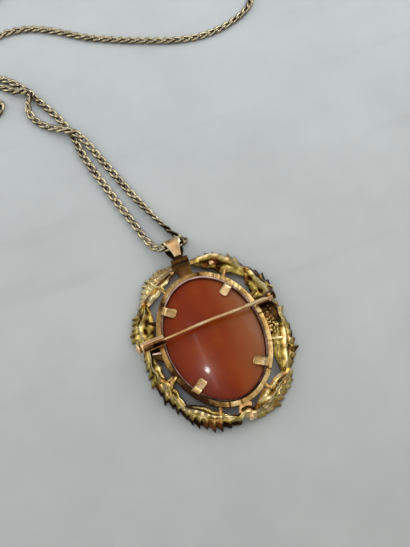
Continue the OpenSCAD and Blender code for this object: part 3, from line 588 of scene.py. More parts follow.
def claw(phi_deg):
    """A strip bent from the rim down onto the stone's back: the path climbs over the rim,
    folds, and runs down to the tip, where the width is rounded off."""
    phi = math.radians(phi_deg)
    foot = oval(phi, WALL_GROW + 0.35)
    turn = math.atan2(math.sin(phi) / BAND_B, math.cos(phi) / BAND_A)
    out, side = np.array([math.cos(turn), math.sin(turn)]), np.array([-math.sin(turn), math.cos(turn)])

    def back(x, y):
        return EDGE_Z + BACK_RISE * (1 - (x / STONE_A) ** 2 - (y / STONE_B) ** 2)

    tip_xy = foot - CLAW_REACH * out
    tip_z = max(back(*(tip_xy + k * CLAW_W / 2 * side)) for k in (-1, 1)) + 0.08
    bend_z = max(RIM_Z - CLAW_T / 2, tip_z)
    half = CLAW_T / 2
    knots = np.array([
        [0.42, RIM_Z - 0.25], [0.36, RIM_Z + half - 0.02], [0.0, RIM_Z + half + 0.02],
        [-0.7, bend_z + half], [-CLAW_REACH + 0.02, tip_z + half],
    ])
    bend, run_down, tip = np.linspace(0.16, 0.34, 9), np.linspace(0.36, 0.9, 12), np.linspace(0.91, 1, 9)
    s = np.concatenate([[0, 0.05, 0.12], bend, run_down, tip])
    length = np.append(0, np.cumsum(np.linalg.norm(np.diff(knots, axis=0), axis=1)))
    run = s * length[-1]
    along, z = np.interp(run, length, knots[:, 0]), np.interp(run, length, knots[:, 1])
    left = np.clip((length[-1] - run) / 0.75, 0.0, 1)
    half_w = CLAW_W / 2 * (0.5 + 0.5 * np.sqrt(1 - (1 - left) ** 2)) * (1 - 0.06 * np.sin(4.4 * s))
    half_w[-1] *= 0.93
    path = np.column_stack([foot + along[:, None] * out, z])
    # Painted highlight along the claw's fold and at its tip.
    fold = bell(along, -0.7, 0.14) + 0.35 * (s > 0.95)
    return sweep(path, [*side, 0], half_w, half * (1 - 0.25 * (1 - left)), 5, 28, fold)


setting("bezel_rim", [rim()], RIM)
setting("bezel_band", [band()], BAND)
setting("bezel_wall", [wall()], RIM)
setting("claws", [claw(phi) for phi in CLAW_DEG], CLAW)


# Leaf border

# Rows repeated from the CAD part: an angle on the oval, then the midrib, the inner edge and
# the outer edge as shares of the border's width
LEAVES = [
    [[98, 0.47, 0.38, 0.83], [108, 0.41, 0.31, 1.04], [116, 0.49, 0.27, 1.06],
     [124, 0.54, 0.27, 1.04], [132, 0.57, 0.34, 0.93], [140, 0.72, 0.62, 0.83]],
    [[134, 0.59, 0.51, 0.72], [142, 0.53, 0.26, 0.88], [148, 0.55, 0.15, 1.01],
     [154, 0.60, 0.13, 1.02], [160, 0.55, 0.13, 1.01], [167, 0.54, 0.44, 0.78]],
    [[170, 0.39, 0.29, 0.63], [178, 0.41, 0.24, 0.75], [185, 0.47, 0.24, 0.79],
     [192, 0.47, 0.24, 0.82], [199, 0.38, 0.28, 0.55]],
    [[194, 0.41, 0.33, 0.73], [202, 0.44, 0.21, 0.82], [209, 0.47, 0.26, 0.82],
     [215, 0.47, 0.33, 0.78], [220.5, 0.49, 0.41, 0.66]],
    [[218, 0.51, 0.36, 0.73], [226, 0.42, 0.16, 0.85], [234, 0.33, 0.12, 0.86],
     [243, 0.31, 0.15, 0.82], [252, 0.33, 0.21, 0.70], [264, 0.38, 0.28, 0.60]],
    [[276, 0.38, 0.28, 0.64], [289, 0.44, 0.10, 0.82], [298, 0.42, 0.10, 0.88],
     [306, 0.47, 0.23, 0.90], [313, 0.57, 0.29, 0.91], [321, 0.72, 0.60, 0.85]],
    [[317, 0.55, 0.41, 0.71], [326, 0.55, 0.16, 0.86], [334, 0.55, 0.10, 1.01],
     [342, 0.54, 0.08, 0.99], [350, 0.55, 0.21, 0.95], [358, 0.64, 0.54, 0.80]],
    [[355.5, 0.60, 0.47, 0.78], [361, 0.60, 0.38, 0.93], [367, 0.60, 0.46, 0.91],
     [374, 0.65, 0.57, 0.77]],
    [[372, 0.68, 0.49, 0.84], [379, 0.72, 0.10, 1.13], [386, 0.75, 0.29, 1.17],
     [392, 0.78, 0.34, 1.14], [399, 0.83, 0.72, 0.98]],
    [[395, 0.68, 0.54, 0.90], [402, 0.73, 0.46, 1.03], [409, 0.85, 0.34, 1.16],
     [417, 0.85, 0.24, 1.16], [425, 0.80, 0.29, 1.08], [433, 0.70, 0.34, 0.91],
     [442, 0.62, 0.52, 0.77]],
]
TEETH = [8, 6, 4, 4, 6, 6, 6, 3, 4, 7]
FINER = 1.3  # teeth here for each tooth of the CAD part's
TOOTH_LEAN, END_FALL, TOOTH_TOP = 1.1, 0.18, 0.66
# For each leaf: its brightness as painted light, the painted shade on its outer edge, how
# steeply its outer flank falls, a painted shadow on its inner flank, and how crumpled it is
PAINTED_LIGHT = [0.8, -0.15, 0.1, 0.45, 0.4, 0.5, 0.05, 0.3, -0.1, 0.0]
EDGE_SHADE = [0.1, 0.0, 0.3, 1.1, 1.1, 0.4, 0.35, 0.4, 0.7, 0.3]
FALL_POWER = [1.5, 1.3, 1.5, 1.9, 2.1, 1.7, 1.3, 1.3, 1.3, 1.5]
INNER_SHADOW = [0.0, 0.3, 0.0, 0.0, 0.0, 0.0, 0.0, 0.0, 0.3, 0.5]
CRUMPLE = [0.12, 0.1, 0.1, 0.12, 0.1, 0.12, 0.1, 0.1, 0.14, 0.2]
# Struts: angle, how far across the border they reach, tone (the negative tones are painted shade)
STRUTS = [
    [119, 0.38, 0.0], [150, 0.33, -0.8], [197, 0.37, 0.0], [247, 0.29, 0.0], [300, 0.29, 0.0],
    [350, 0.33, -0.4], [363, 0.46, 0.0], [382, 0.37, -0.4], [412, 0.42, 0.0],
]
BUD_PLATE = [[266, -0.06], [262.5, 0.28], [272, 0.41], [277.5, 0.11], [276, -0.06]]


def on_border(phi, share):
    """A place at an angle in degrees, at a share of the border's width beyond the band."""
    t, n = np.radians(phi), share * BORDER_W
    return np.stack([(BAND_A + n) * np.cos(t), (BAND_B + n) * np.sin(t)], -1)


def smooth_rows(rows, u):
    """Rows of a table at places u from 0 to 1, by a spline through them (Catmull-Rom)."""
    rows = np.asarray(rows, float)
    s = np.clip(u, 0, 1) * (len(rows) - 1)
    i = np.minimum(s.astype(int), len(rows) - 2)
    t = (s - i)[:, None]
    padded = np.vstack([2 * rows[0] - rows[1], rows, 2 * rows[-1] - rows[-2]])
    a, b, c, d = (padded[i + k] for k in range(4))
    square, cube = 2 * a - 5 * b + 4 * c - d, 3 * b - a - 3 * c + d
    return 0.5 * (2 * b + (c - a) * t + square * t**2 + cube * t**3)


def leaf(rows, teeth, number):
    """One serrated leaf as a function of u along it and v across it.

    v runs from -1 at the inner edge over 0 at the midrib to 1 at the outer edge. Each tooth
    has its own share p from 0 to 1 along the edge. Its spike climbs as (p / TOOTH_TOP)^2.2 and
    drops as the rest's power 1.5, is filled out by 1 - (1 - spike)^1.5, and moves the edge
    outwards and along. Its lobe sin(pi p^1.3)^0.9 puffs the outer flank up, which leaves veins
    that run to the notches. The midrib is a raised bead, both flanks are hollow beside it,
    products of sines of x and y crumple the surface, and the leaf falls by END_FALL towards
    its ends. The underside follows the CAD part's. In tone the hollows, notches, outer edge,
    rim edges and underside carry painted shade, and the midrib and the crests of the crumples
    carry painted highlights.
    """
    teeth = round(FINER * teeth)
    count, half = 14 * teeth + 1, 17
    u = np.linspace(0, 1, count)
    phi, rib, inner, outer = smooth_rows(rows, u).T
    swell = np.sin(math.pi * u)
    wide = swell[:, None]
    across_share = np.linspace(0, 1, half) ** 0.85
    v = np.concatenate([-across_share[::-1], across_share[1:]])
    up, down = np.clip(v, 0, 1)[None, :], np.clip(-v, 0, 1)[None, :]

    share = (u * teeth) % 1.0
    uneven = 1 + 0.4 * np.sin(2.4 * np.floor(u * teeth) ** 1.3 + 1.7 * number)
    lobe = (np.sin(math.pi * share**1.3) ** 0.9)[:, None]
    climb, drop = (share / TOOTH_TOP) ** 2.2, ((1 - share) / (1 - TOOTH_TOP)) ** 1.5
    spike = 1 - (1 - np.where(share < TOOTH_TOP, climb, drop)) ** 1.5

    edge_out = (outer + TOOTH_D / BORDER_W * swell * (0.9 * spike * uneven - 0.8))[:, None]
    edge_in = (inner - 0.04 * swell + 0.03 * swell * np.sin(6 * math.pi * u + number))[:, None]
    rib = (rib + 0.05 * np.sin(9 * u + 2.3 * number) * swell)[:, None]
    across = rib + up * (edge_out - rib) - down * (rib - edge_in)
    turn = phi[:, None] + TOOTH_LEAN * up**2 * (1.5 * spike[:, None] - 0.3) + 0.3 * down**2 * lobe
    xy = on_border(turn, across)
    x, y = xy[..., 0], xy[..., 1]

    fall = END_FALL * CREST_Z * (2 * u - 1) ** 2
    top_rib, top_in = (CREST_Z - fall)[:, None], (INNER_Z - fall)[:, None]
    low = (EDGE_T / 2 * (1 - spike))[:, None]
    arch = np.sin(math.pi * np.abs(v)) ** 0.8
    broad = np.sin(1.35 * x + 0.8 * y + number) * np.sin(1.1 * y - 0.6 * x + 2 * number)
    small = np.sin(2.6 * x - 1.7 * y + 3 * number) * np.sin(2.3 * y + 1.1 * x)
    crumple = (broad + 0.3 * small) * arch
    hollow = 0.4 * bell(v, 0.27, 0.11) + 0.36 * bell(v, -0.4, 0.17)
    top = (
        top_rib
        + up ** FALL_POWER[number] * (low + EDGE_T - top_rib)
        + down * (top_in - top_rib)
        + (0.42 * lobe - 0.24) * up**1.3 * wide
        + CRUMPLE[number] * crumple
        - hollow * wide * (0.7 + 0.3 * np.sin(5 * u + number))[:, None]
        + 0.24 * bell(v, 0, 0.1)
    )
    under = top_rib - RIB_T + up * (low - top_rib + RIB_T) + down * (top_in - EDGE_T - top_rib + RIB_T)
    under = np.minimum(under, top - 0.35)
    upper = np.concatenate([xy, top[..., None]], -1)
    lower = np.concatenate([xy, under[..., None]], -1)
    middle = 0.5 * (upper + lower)
    rim_in = middle[:, :1] + 0.12 * (middle[:, :1] - middle[:, 1:2])
    rim_out = middle[:, -1:] + 0.12 * (middle[:, -1:] - middle[:, -2:-1])
    grid = np.concatenate([rim_in, upper, rim_out, lower[:, ::-1]], 1)

    edge = EDGE_SHADE[number]
    # Painted highlights: each leaf's painted brightness, the midrib and the crests of the crumples.
    bright = PAINTED_LIGHT[number] + 0.8 * bell(v, 0, 0.12) + 0.3 * crumple
    # Painted shade in the notches, on the inner flank, along the outer edge and in the hollows.
    notch_shade = (0.6 * (1 - lobe) * up**2 + 0.5 * np.abs(v) ** 6) * min(0.2 + edge, 1)
    inside = INNER_SHADOW[number] * np.clip(1.6 * down, 0, 1) * bell(u, 0.66, 0.22)[:, None]
    dark = notch_shade + inside + edge * np.clip(2 * up - 0.6, 0, 1) + 1.7 * hollow * wide
    # Painted shade on the leaf's rim edges and its underside.
    rim_shade = np.full((count, 1), -0.5)
    below = np.full((count, len(v)), -0.1 - 0.6 * min(edge, 1))
    tone = np.concatenate([rim_shade, bright - dark, rim_shade, below], 1)
    # The strip cap pairs the two halves of a ring, so the inner rim goes to the ring's end
    return skin(np.roll(grid, -1, 1), "strip", np.roll(tone, -1, 1))


def ball(centre, radius, lobes=5, depth=0.08):
    """A bead with shallow lobes: its radius swells and dips round and over it."""
    rise, t = np.radians(np.linspace(-88, 88, 25))[:, None], circle(36)[None, :]
    r = radius * (1 + depth * np.cos(lobes * t + 2 * rise) * np.cos(rise) ** 2 - depth)
    flat = r * np.cos(rise)
    grid = np.stack([flat * np.cos(t), flat * np.sin(t), r * np.sin(rise)], -1)
    # Tone: a painted highlight round the bead's middle, fading towards its top and bottom.
    return skin(grid + np.asarray(centre, float), "fan", 0.5 * np.cos(rise) + 0 * t)


def crust():
    """Solder run into a rough oval patch beside the pin's hinge. Its height over the foot is
    0.2 + 0.75 times the product of |sin(3.3 x + sin 2.1 y)| and |sin(3.1 y + sin 2.7 x)|,
    and it falls to nothing at the edge of the oval."""
    middle_x, middle_y, half_x, half_y, slant = 14.95, -2.0, 1.35, 2.9, 0.12
    t, s = circle(120)[None, :], np.linspace(1, 0.02, 34)[:, None]
    x = middle_x + half_x * s * np.cos(t) - slant * s * np.sin(t)
    y = middle_y + half_y * s * np.sin(t)
    bumps = np.abs(np.sin(3.3 * x + np.sin(2.1 * y)) * np.sin(3.1 * y + np.sin(2.7 * x)))
    foot = BAND_Z - 0.85
    top = np.stack([x, y, foot + (1 - s**6) * (0.2 + 0.75 * bumps)], -1)
    under = np.stack([x[[-1, 0]], y[[-1, 0]], 0 * x[[-1, 0]] + foot - 0.5], -1)
    # Tone: painted highlights on the crests of the bumps and painted shade in their dips.
    return skin(np.concatenate([under, top]), "fan", np.concatenate([0 * x[:2], 1.8 * bumps - 0.7]))


def strut(phi, reach, tone):
    """A bar from the band out to under a leaf, narrowing and arched slightly on its way."""
    s = np.linspace(0, 1, 9)
    foot, end = on_border(phi, -0.4 * BAND_W / BORDER_W), on_border(phi, reach)
    xy = foot[None] * (1 - s[:, None]) + end[None] * s[:, None]
    z = BAND_Z - BAND_H + 0.5 + 0.04 * np.sin(math.pi * s)
    side = unit(np.array([-(end - foot)[1], (end - foot)[0]]))
    return sweep(np.column_stack([xy, z]), [*side, 0], 0.55 - 0.2 * s, 0.48, 3, 16, tone)


def bud_shadow_bar():
    """A dark bar that paints the shadow round the bud on the foot plate: an arc that dips towards its ends.
    """
    middle_x, middle_y, half_x, half_y, dip, width, height = -0.05, -21.05, 2.05, 1.75, 0.6, 0.4, 0.15
    a = np.radians(np.linspace(18, 165, 25))
    z = BAND_Z - 0.05 - dip * np.cos(a) ** 4
    arc = np.column_stack([middle_x + half_x * np.cos(a), middle_y + half_y * np.sin(a), z])
    return sweep(arc, [0, 0, 1], height, width, 3, 16, -0.4)


def tendril(knots, r):
    """A thin curled shoot: a wire of radius r along a smooth curve, thinner at both ends."""
    s = np.linspace(0, 1, 25)
    taper = r * (0.3 + 0.7 * np.sin(math.pi * s) ** 0.6)
    return sweep(smooth_rows(knots, s), [0, 0, 1], taper, 0.8 * taper, 2.4, 16, 0.1)


# A curl by the first leaf, two arms of a fork, a hook, and the tail over the foot plate
SHOOTS = [
    [[(-9.4, 18.1, 3.4), (-8.2, 18.2, 3.9), (-7.2, 17.4, 3.9), (-6.6, 16.0, 3.3)], 0.42],
    [[(-16.3, -4.2, 3.6), (-15.9, -5.6, 4.3), (-15.2, -7.3, 4.4), (-15.4, -9.8, 3.6)], 0.95],
    [[(-12.3, -5.4, 3.8), (-13.2, -6.2, 4.4), (-14.3, -7.2, 4.4), (-15.2, -8.8, 3.8)], 0.85],
    [[(17.6, 8.6, 2.6), (18.7, 7.9, 3.0), (19.3, 7.2, 3.0), (19.5, 6.3, 2.6)], 0.3],
    [[(-3.4, -20.6, 2.5), (-2.0, -20.9, 3.8), (-0.5, -20.3, 4.4), (1.0, -20.7, 4.2)], 0.8],
]
leaves = [leaf(rows, TEETH[i], i) for i, rows in enumerate(LEAVES)]
bud_x, bud_y = on_border(273, 0.47)
foot_plate = slab([on_border(*row) for row in BUD_PLATE], BAND_Z - BAND_H, BAND_Z, 0.15, 4, 0.05)
setting("leaf_border", leaves, LEAF, sharp=50)
setting("foot_plate", [foot_plate], PIN)
# A dark bar standing for the shadow round the bud: painted shadow.
setting("bud_shadow_bar", [bud_shadow_bar()], SHADED_GOLD)
setting("bud", [ball([bud_x, bud_y + 0.3, 2.7], 1.62, 6, 0.1)], PIN)
setting("bead", [ball([*on_border(101, 0.41), CREST_Z - 0.6], 0.62, 4, 0.03)], LEAF)
setting("shoots", [tendril(*row) for row in SHOOTS], LEAF)
setting("struts", [strut(*row) for row in STRUTS], BAND)


# Catch and pin hinge

# Turns the pin's own frame, whose +Z leaves the catch's mouth, into the part's frame
TILT = math.radians(90 - MOUTH_DEG)
COS, SIN = math.cos(TILT), math.sin(TILT)
PIN_TURN = np.array([[1, 0, 0], [0, COS, -SIN], [0, SIN, COS]])
PIN_AT = (0.0, PIN_Y, PIN_Z)
ALONG_Y = np.array([[0, -1, 0], [1, 0, 0], [0, 0, 1]])
MOUTH_HALF = 0.58


def tube_profile(x0, x1, outer, inner, bevel=0.08):
    """Closed outline (x, r) of a tube's wall with rounded ends."""
    return rounded([(x0, inner), (x0, outer), (x1, outer), (x1, inner)], bevel, 4)


def catch_tube():
    """The fixed tube: a closed collar at its outer end, then a C-shaped wall worked out as an
    arc from one lip of the mouth round to the other. The mouth is twice MOUTH_HALF wide. The
    wall thins at its lips and ends and has a crease along it. Its tone paints a highlight band
    along the upper side and painted shade on one lip, in the crease and inside the bore."""
    half, middle = math.asin(MOUTH_HALF / CATCH_R), math.radians(180 - MOUTH_DEG)
    t = np.linspace(middle + half, middle + 2 * math.pi - half, 97)
    x = np.concatenate([[0, 0.04, 0.12], np.linspace(0.3, 5.34, 18), [5.5, 5.6, 5.65]]) + CATCH_END + 0.35
    ends = np.clip(np.minimum(x - x[0], x[-1] - x) / 0.12, 0, 1)
    round_off = 0.06 * (1 - np.sqrt(1 - (1 - ends) ** 2))
    lips = 0.07 * bell(np.minimum(t - t[0], t[-1] - t), 0, 0.09)
    crease = 0.07 * bell(t, math.radians(360 + 92), 0.07)
    outer = CATCH_R - round_off[:, None] - lips - crease
    inner = BORE_R + round_off[:, None] + lips
    r, turn = np.concatenate([outer, inner[:, ::-1]], 1), np.concatenate([t, t[::-1]])
    walls = np.stack([0 * r + x[:, None], r * np.cos(turn), r * np.sin(turn)], -1)
    # Painted highlight band along the upper side, painted shade on one lip and in the crease; the bore gets
    # painted shade.
    painted_light_outside = 0.9 * bell(t, math.radians(400), 0.55) - 0.5 * bell(t, t[-1], 0.3) - 10 * crease
    body = skin(walls, "strip", np.concatenate([painted_light_outside, 0 * t - 1.0]))
    outline = tube_profile(CATCH_END, CATCH_END + 0.42, CATCH_R + 0.02, BORE_R, 0.1)
    collar = lathe(outline, 48, True, 0.4)
    return [place(body, None, PIN_AT), place(collar, None, PIN_AT)]


SKIRT = [(-16.1, 1.2), (-15.9, 2.9), (-13.4, 3.1), (-13.0, -1.2), (-13.9, -0.9)]
BAR = [(-15.9, 1.85, 4.35), (-14.7, 1.55, 4.4), (-13.6, 1.25, 4.35)]
web = brick(-BAND_A - 2.0, -BAND_A + 0.42, PIN_Y - 0.5, PIN_Y + 0.5,
            BAND_Z - BAND_H, PIN_Z - BORE_R - 0.17, 0.12)
skirt = slab(SKIRT, BAND_Z - BAND_H, BAND_Z - 0.35, 0.12)
# Tone 0.9 paints the bar's highlight.
bar = sweep(BAR, [0.25, 1, 0], [0.26, 0.3, 0.26], 0.22, 4, 20, 0.9)
setting("catch_tube", catch_tube(), PIN)
setting("catch_web", [web, skirt], SHADED_GOLD)
setting("catch_bar", [bar], RIM)

BACK_X = HINGE_X + KNUCKLE_D / 2 + KNUCKLE_GAP / 2
FOOT_H = KNUCKLE_D / 2 + KNUCKLE_GAP


def bracket():
    """A strip bent in a U round the knuckle: two slim arms joined behind, on a foot."""
    behind = BACK_X + CHEEK_T
    parts = [brick(BACK_X, behind, -HALF_GAP - 0.1, HALF_GAP + 0.1, -FOOT_H, 0.55, 0.08)]
    for side in (-1, 1):
        near, far = sorted((side * HALF_GAP, side * (HALF_GAP + CHEEK_T)))
        parts.append(brick(HINGE_X - ARM_L, behind, near, far, -0.62, 0.12, 0.1))
        parts.append(brick(HINGE_X - 0.5, behind - 0.05, near + 0.03, far - 0.03, -FOOT_H, -0.5, 0.08))
    return [place(p, PIN_TURN, PIN_AT) for p in parts]


# Beads: x, y, radius
GOLD_SPOTS = [
    [14.3, -0.8, 0.5], [14.5, -1.8, 0.45], [14.2, -2.8, 0.45], [13.9, -3.8, 0.4], [15.9, -3.0, 0.6],
    [15.4, -2.2, 0.4],
]
SOLDER_SPOTS = [
    [14.0, 2.2, 0.3], [14.5, 3.4, 0.34], [15.9, 2.5, 0.3], [16.2, 1.5, 0.36], [15.1, 0.9, 0.4],
    [14.2, 0.9, 0.3], [15.1, 1.9, 0.24],
]
BED = [(13.3, 4.4), (17.1, 2.9), (17.6, 0.4), (17.0, -1.7), (15.2, -2.7), (13.4, -2.0)]
BRIDGE = [(13.4, -5.7, 3.6), (14.6, -6.3, 3.8), (15.9, -6.6, 3.4)]


def beads(rows):
    """Small beads that stand on the bed beside the pin's hinge."""
    return [ball([x, y, BAND_Z - 0.75 + 0.3 * r], r, 2, 0.08) for x, y, r in rows]


def hinge_block():
    """The block under the pin's hinge and an uneven bed of solder beside it."""
    block = brick(BAND_A - BAND_W / 2, HINGE_X + KNUCKLE_D / 2,
                  PIN_Y - HALF_GAP, PIN_Y + HALF_GAP + 2 * CHEEK_T,
                  BAND_Z - BAND_H / 2, PIN_Z - KNUCKLE_D / 2 - KNUCKLE_GAP, 0.15)
    points, faces, tone = slab(BED, BAND_Z - BAND_H, BAND_Z - 0.7, 0.3, 3, 0.25)
    return [block, (points, faces, tone - 0.25)]


# The bridge's middle is brighter: a painted highlight on its crest.
bridge = sweep(BRIDGE, [0.4, 1, 0], [0.5, 0.4, 0.5], 0.4, 3, 20, [0, 0.4, 0])
setting("hinge_bracket", bracket(), HINGE)
setting("hinge_block", hinge_block(), SHADED_GOLD)
setting("gold_beads", [*beads(GOLD_SPOTS), crust(), bridge], LEAF)
# A copper-coloured bead standing for the orange highlight on the top leaf: painted highlight.
setting("orange_highlight_bead", [ball([7.4, 19.2, CREST_Z - 0.55], 0.8, 3, 0.1)], PIN)
setting("solder_beads", beads(SOLDER_SPOTS), HINGE)

BOW, BOW_START = 0.22, 0.12
TIP_X, FERRULE_X = CATCH_X - 3.0, HINGE_X - 6.6
# Rows of x, half width and half thickness along the ferrule
FERRULE = [
    [-0.02, 0.44, 0.44], [0.0, 0.5, 0.5], [0.05, 0.54, 0.54], [0.14, 0.56, 0.56], [0.3, 0.55, 0.55],
    [1.5, 0.55, 0.55], [3.0, 0.55, 0.55], [4.2, 0.55, 0.55], [4.9, 0.56, 0.54], [5.3, 0.53, 0.56],
    [5.7, 0.48, 0.6], [6.0, 0.45, 0.62],
]


def brooch_pin():
    """Stem, ferrule and knuckle. The stem is a round wire, sharpened at its tip, that bows
    aside by BOW * sin(pi s)^2 over its run; the ferrule grips it with a rounded collar and is
    flattened where it meets the knuckle."""
    point = TIP_X + np.array([0, 0.05, 0.2, 0.6, 1.1, 1.5])
    x = np.concatenate([point, np.linspace(TIP_X + 2.2, FERRULE_X + 0.3, 40)])
    s = (x - TIP_X) / (FERRULE_X - TIP_X)
    r = np.interp(x - TIP_X, [0, 0.05, 1.5, FERRULE_X - TIP_X], [0.02, 0.06, 0.26, 0.42])
    r = r + 0.05 + 0.06 * np.sin(math.pi * np.clip(s, 0, 1)) ** 2
    bow = BOW * np.sin(math.pi * np.clip((s - BOW_START) / (1 - BOW_START), 0, 1)) ** 2
    path = np.column_stack([x, PIN_Y + bow, PIN_Z + 0 * x])
    stem = sweep(path, [0, 1, 0], r, r, 2, 24, 0.2)
    fx, half_w, half_t = np.array(FERRULE).T
    path = np.column_stack([FERRULE_X + fx, 0 * fx, 0 * fx])
    # Tone 1.0 paints the ferrule as lit: a painted highlight.
    ferrule = sweep(path, [0, 1, 0], half_w, half_t, 2.3, 32, 1.0)
    outline = tube_profile(-KNUCKLE_W / 2, KNUCKLE_W / 2, KNUCKLE_D / 2, RIVET_D / 2 + 0.03, 0.1)
    knuckle = place(lathe(outline, 36, True), ALONG_Y, (HINGE_X, 0, 0))
    return [stem, place(ferrule, PIN_TURN, PIN_AT), place(knuckle, PIN_TURN, PIN_AT)]


def rivet():
    """The rivet through the knuckle and both cheeks, with rounded heads."""
    end, r = HALF_GAP + CHEEK_T + 0.12, RIVET_D / 2
    head = [(-end, 0.12), (-end + 0.02, 0.3), (-end + 0.1, r)]
    turned = lathe([*head, *((-x, r) for x, r in head[::-1])], 28)
    return place(place(turned, ALONG_Y, (HINGE_X, 0, 0)), PIN_TURN, PIN_AT)


make("pin_stem", brooch_pin(), PIN, "pin", ["brooch_pin"])
make("pin_rivet", [rivet()], PIN, "pendant", ["hinge_rivet"])

# Rows of x, radius and tone from the knob over the thumb disc to its inner face; the tone paints a
# highlight on the disc's rim and shade on its inner face
DISC = [
    [-0.45, 0.1, 0.3], [-0.42, 0.3, 0.3], [-0.3, 0.52, 0.3], [-0.05, 0.66, 0], [0.02, 0.8, -0.3],
    [0, 1.35, 0], [0.06, 1.52, 0.5], [0.16, 1.59, 0.6], [0.34, 1.59, 0.6], [0.44, 1.52, 0.5],
    [0.5, 1.35, 0], [0.5, 0.6, -0.4],
]


def catch_slide():
    """The sliding tube with its thumb disc and domed knob, turned about the pin's axis."""
    slide_r, disc_x, end, step = BORE_R - 0.05, CATCH_END - 1.0, CATCH_X - 3.1, CATCH_END + 0.3
    wall = slide_r - 0.3
    corners = [(disc_x + 0.3, slide_r), (end, slide_r), (end, wall), (step, wall), (step, 0.05),
               (disc_x + 0.3, 0.05)]
    outline = rounded(corners, 0.05, 3)
    tube = lathe(outline, 32, True, 0.8)
    x, r, tone = np.array(DISC).T
    disc = lathe(np.column_stack([disc_x + x, r]), 40, False, tone)
    return place(tube, None, PIN_AT), place(disc, None, PIN_AT)


slide_tube, thumb_disc = catch_slide()
make("slide_tube", [slide_tube], SHADED_GOLD, "slide", ["catch_slide"])
make("thumb_disc", [thumb_disc], PIN, "slide", ["catch_slide"])


# Bail


BAIL_AT, TUBE_BORE, NEAR_SHARE = (0, BAIL_Y, BAIL_Z), 0.43, 0.51


def bail_plate():
    """The plate between bezel and bail, its two hinge knuckles, the bar from it to the first
    leaf, and apart from them the gold stem from it to the last leaf."""
    low, high = PLATE_Z, PLATE_Z + PLATE_T
    plate = slab([(-2.3, PLATE_END), (2.3, PLATE_END), (1.7, 17.8), (-1.7, 17.8)], low, high, 0.12, 3, 0.04)
    bar = [(-1.9, PLATE_END - 0.5), on_border(98, 0.74), on_border(99.5, 0.4), (-1.5, 19.0)]
    link = [(1.8, PLATE_END - 0.1), (1.8, PLATE_END - 1.1), on_border(435, 0.48), on_border(434, 0.66)]
    parts = [plate, slab(bar, low + 0.05, high - 0.1, 0.15)]
    for side in (-1, 1):
        x0, x1 = sorted((side * 0.86, side * TUBE_L / 2))
        lug = lathe(tube_profile(x0, x1, TUBE_R, TUBE_BORE, 0.12), 36, True, 0.2)
        neck = brick(x0 + 0.05, x1 - 0.05, PLATE_END - 0.3, BAIL_Y - 0.45, low + 0.03, high - 0.03, 0.1)
        parts += [place(lug, None, BAIL_AT), neck]
    return parts, slab(link, low + 0.05, high - 0.05, 0.15)


plate_parts, stem = bail_plate()
setting("bail_plate", plate_parts, SHADED_GOLD)
setting("leaf_stem", [stem], LEAF)
hinge_pin = lathe([(-2.3, 0.2), (-2.27, 0.36), (-2.2, 0.4), (2.2, 0.4), (2.27, 0.36), (2.3, 0.2)], 24)
make("bail_hinge_pin", [place(hinge_pin, None, BAIL_AT)], SHADED_GOLD, "pendant", ["bail_pin"])

# Rows of a share of the bail's length and the half width there as a share of STRAP_W
BACK_FACE = [[0.08, 0.16], [0.30, 0.19], [0.55, 0.29], [0.78, 0.40], [1.02, 0.50]]
FRONT_FACE = [[0.08, 0.16], [0.25, 0.30], [0.50, 0.43], [0.78, 0.48], [1.02, 0.50]]


def bail():
    """A strap folded back on itself: its middle line runs from the knuckle up one face,
    round the fold and down the other, and its half width follows each face's table. The
    strap is crowned across its width, with raised bright edges. In tone its inner side, its
    lower half and its end by the knuckle carry painted shade."""
    near, far = NEAR_SHARE * TUBE_R, FOLD_R - STRAP_T / 2
    lean = math.asin((far - near) / FOLD_Y)
    side = np.array([-math.sin(lean), math.cos(lean)])
    start, turn_at = near * side + [0.25, 0], far * side + [FOLD_Y, 0]
    straight = start + np.linspace(0, 1, 26)[:, None] * (turn_at - start)
    a = np.linspace(math.pi / 2 + lean, 0, 16)[1:]
    bend = np.stack([FOLD_Y + far * np.cos(a), far * np.sin(a)], -1)
    top = np.vstack([straight, bend])
    line = np.vstack([top, top[-2::-1] * [1, -1]])
    reach_y = line[:, 0] / (FOLD_Y + FOLD_R)
    back, front = np.array(BACK_FACE), np.array(FRONT_FACE)
    half = np.where(line[:, 1] >= 0, np.interp(reach_y, *back.T), np.interp(reach_y, *front.T)) * STRAP_W
    kernel = np.array([1, 2, 3, 2, 1]) / 9
    half = np.convolve(np.pad(half, 2, "edge"), kernel, "valid")
    way = unit(np.gradient(line, axis=0))
    out = np.stack([-way[:, 1], way[:, 0]], -1)
    w = np.linspace(-1, 1, 19)
    dome, border = 0.07 * (1 - w**2), 0.06 * bell(np.abs(w), 0.88, 0.08)
    crown = dome + border - 0.05
    thick = STRAP_T / 2 * (1 - 0.55 * np.abs(w) ** 8)
    grid = []
    for sign, order in ((1, slice(None)), (-1, slice(None, None, -1))):
        lift = (sign * thick + crown)[order]
        yz = line[:, None] + out[:, None] * lift[None, :, None]
        x = half[:, None] * w[None, order]
        grid.append(np.concatenate([x[..., None], yz], -1))
    tone = 0.75 * bell(np.abs(w), 0.9, 0.1) - 0.1 * (np.abs(w) < 0.5)
    # Painted shade on the strap's inner side, by the knuckle and on its lower half.
    tone = np.concatenate([tone, 0 * tone - 1.3])
    tone = tone[None] - 2.0 * (line[:, :1] < 1.25) - 0.9 * (line[:, 1:] < 0)
    strap = skin(np.concatenate(grid, 1), "strip", tone)
    knuckle = lathe(tube_profile(-0.8, 0.8, TUBE_R, TUBE_BORE, 0.1), 36, True, 0.1)
    return place(strap, None, BAIL_AT), place(knuckle, None, BAIL_AT)


strap, bail_knuckle = bail()
make("bail_strap", [strap], BAIL, "bail_and_chain", ["bail"])
make("bail_knuckle", [bail_knuckle], SHADED_GOLD, "bail_and_chain", ["bail"])


# Chain

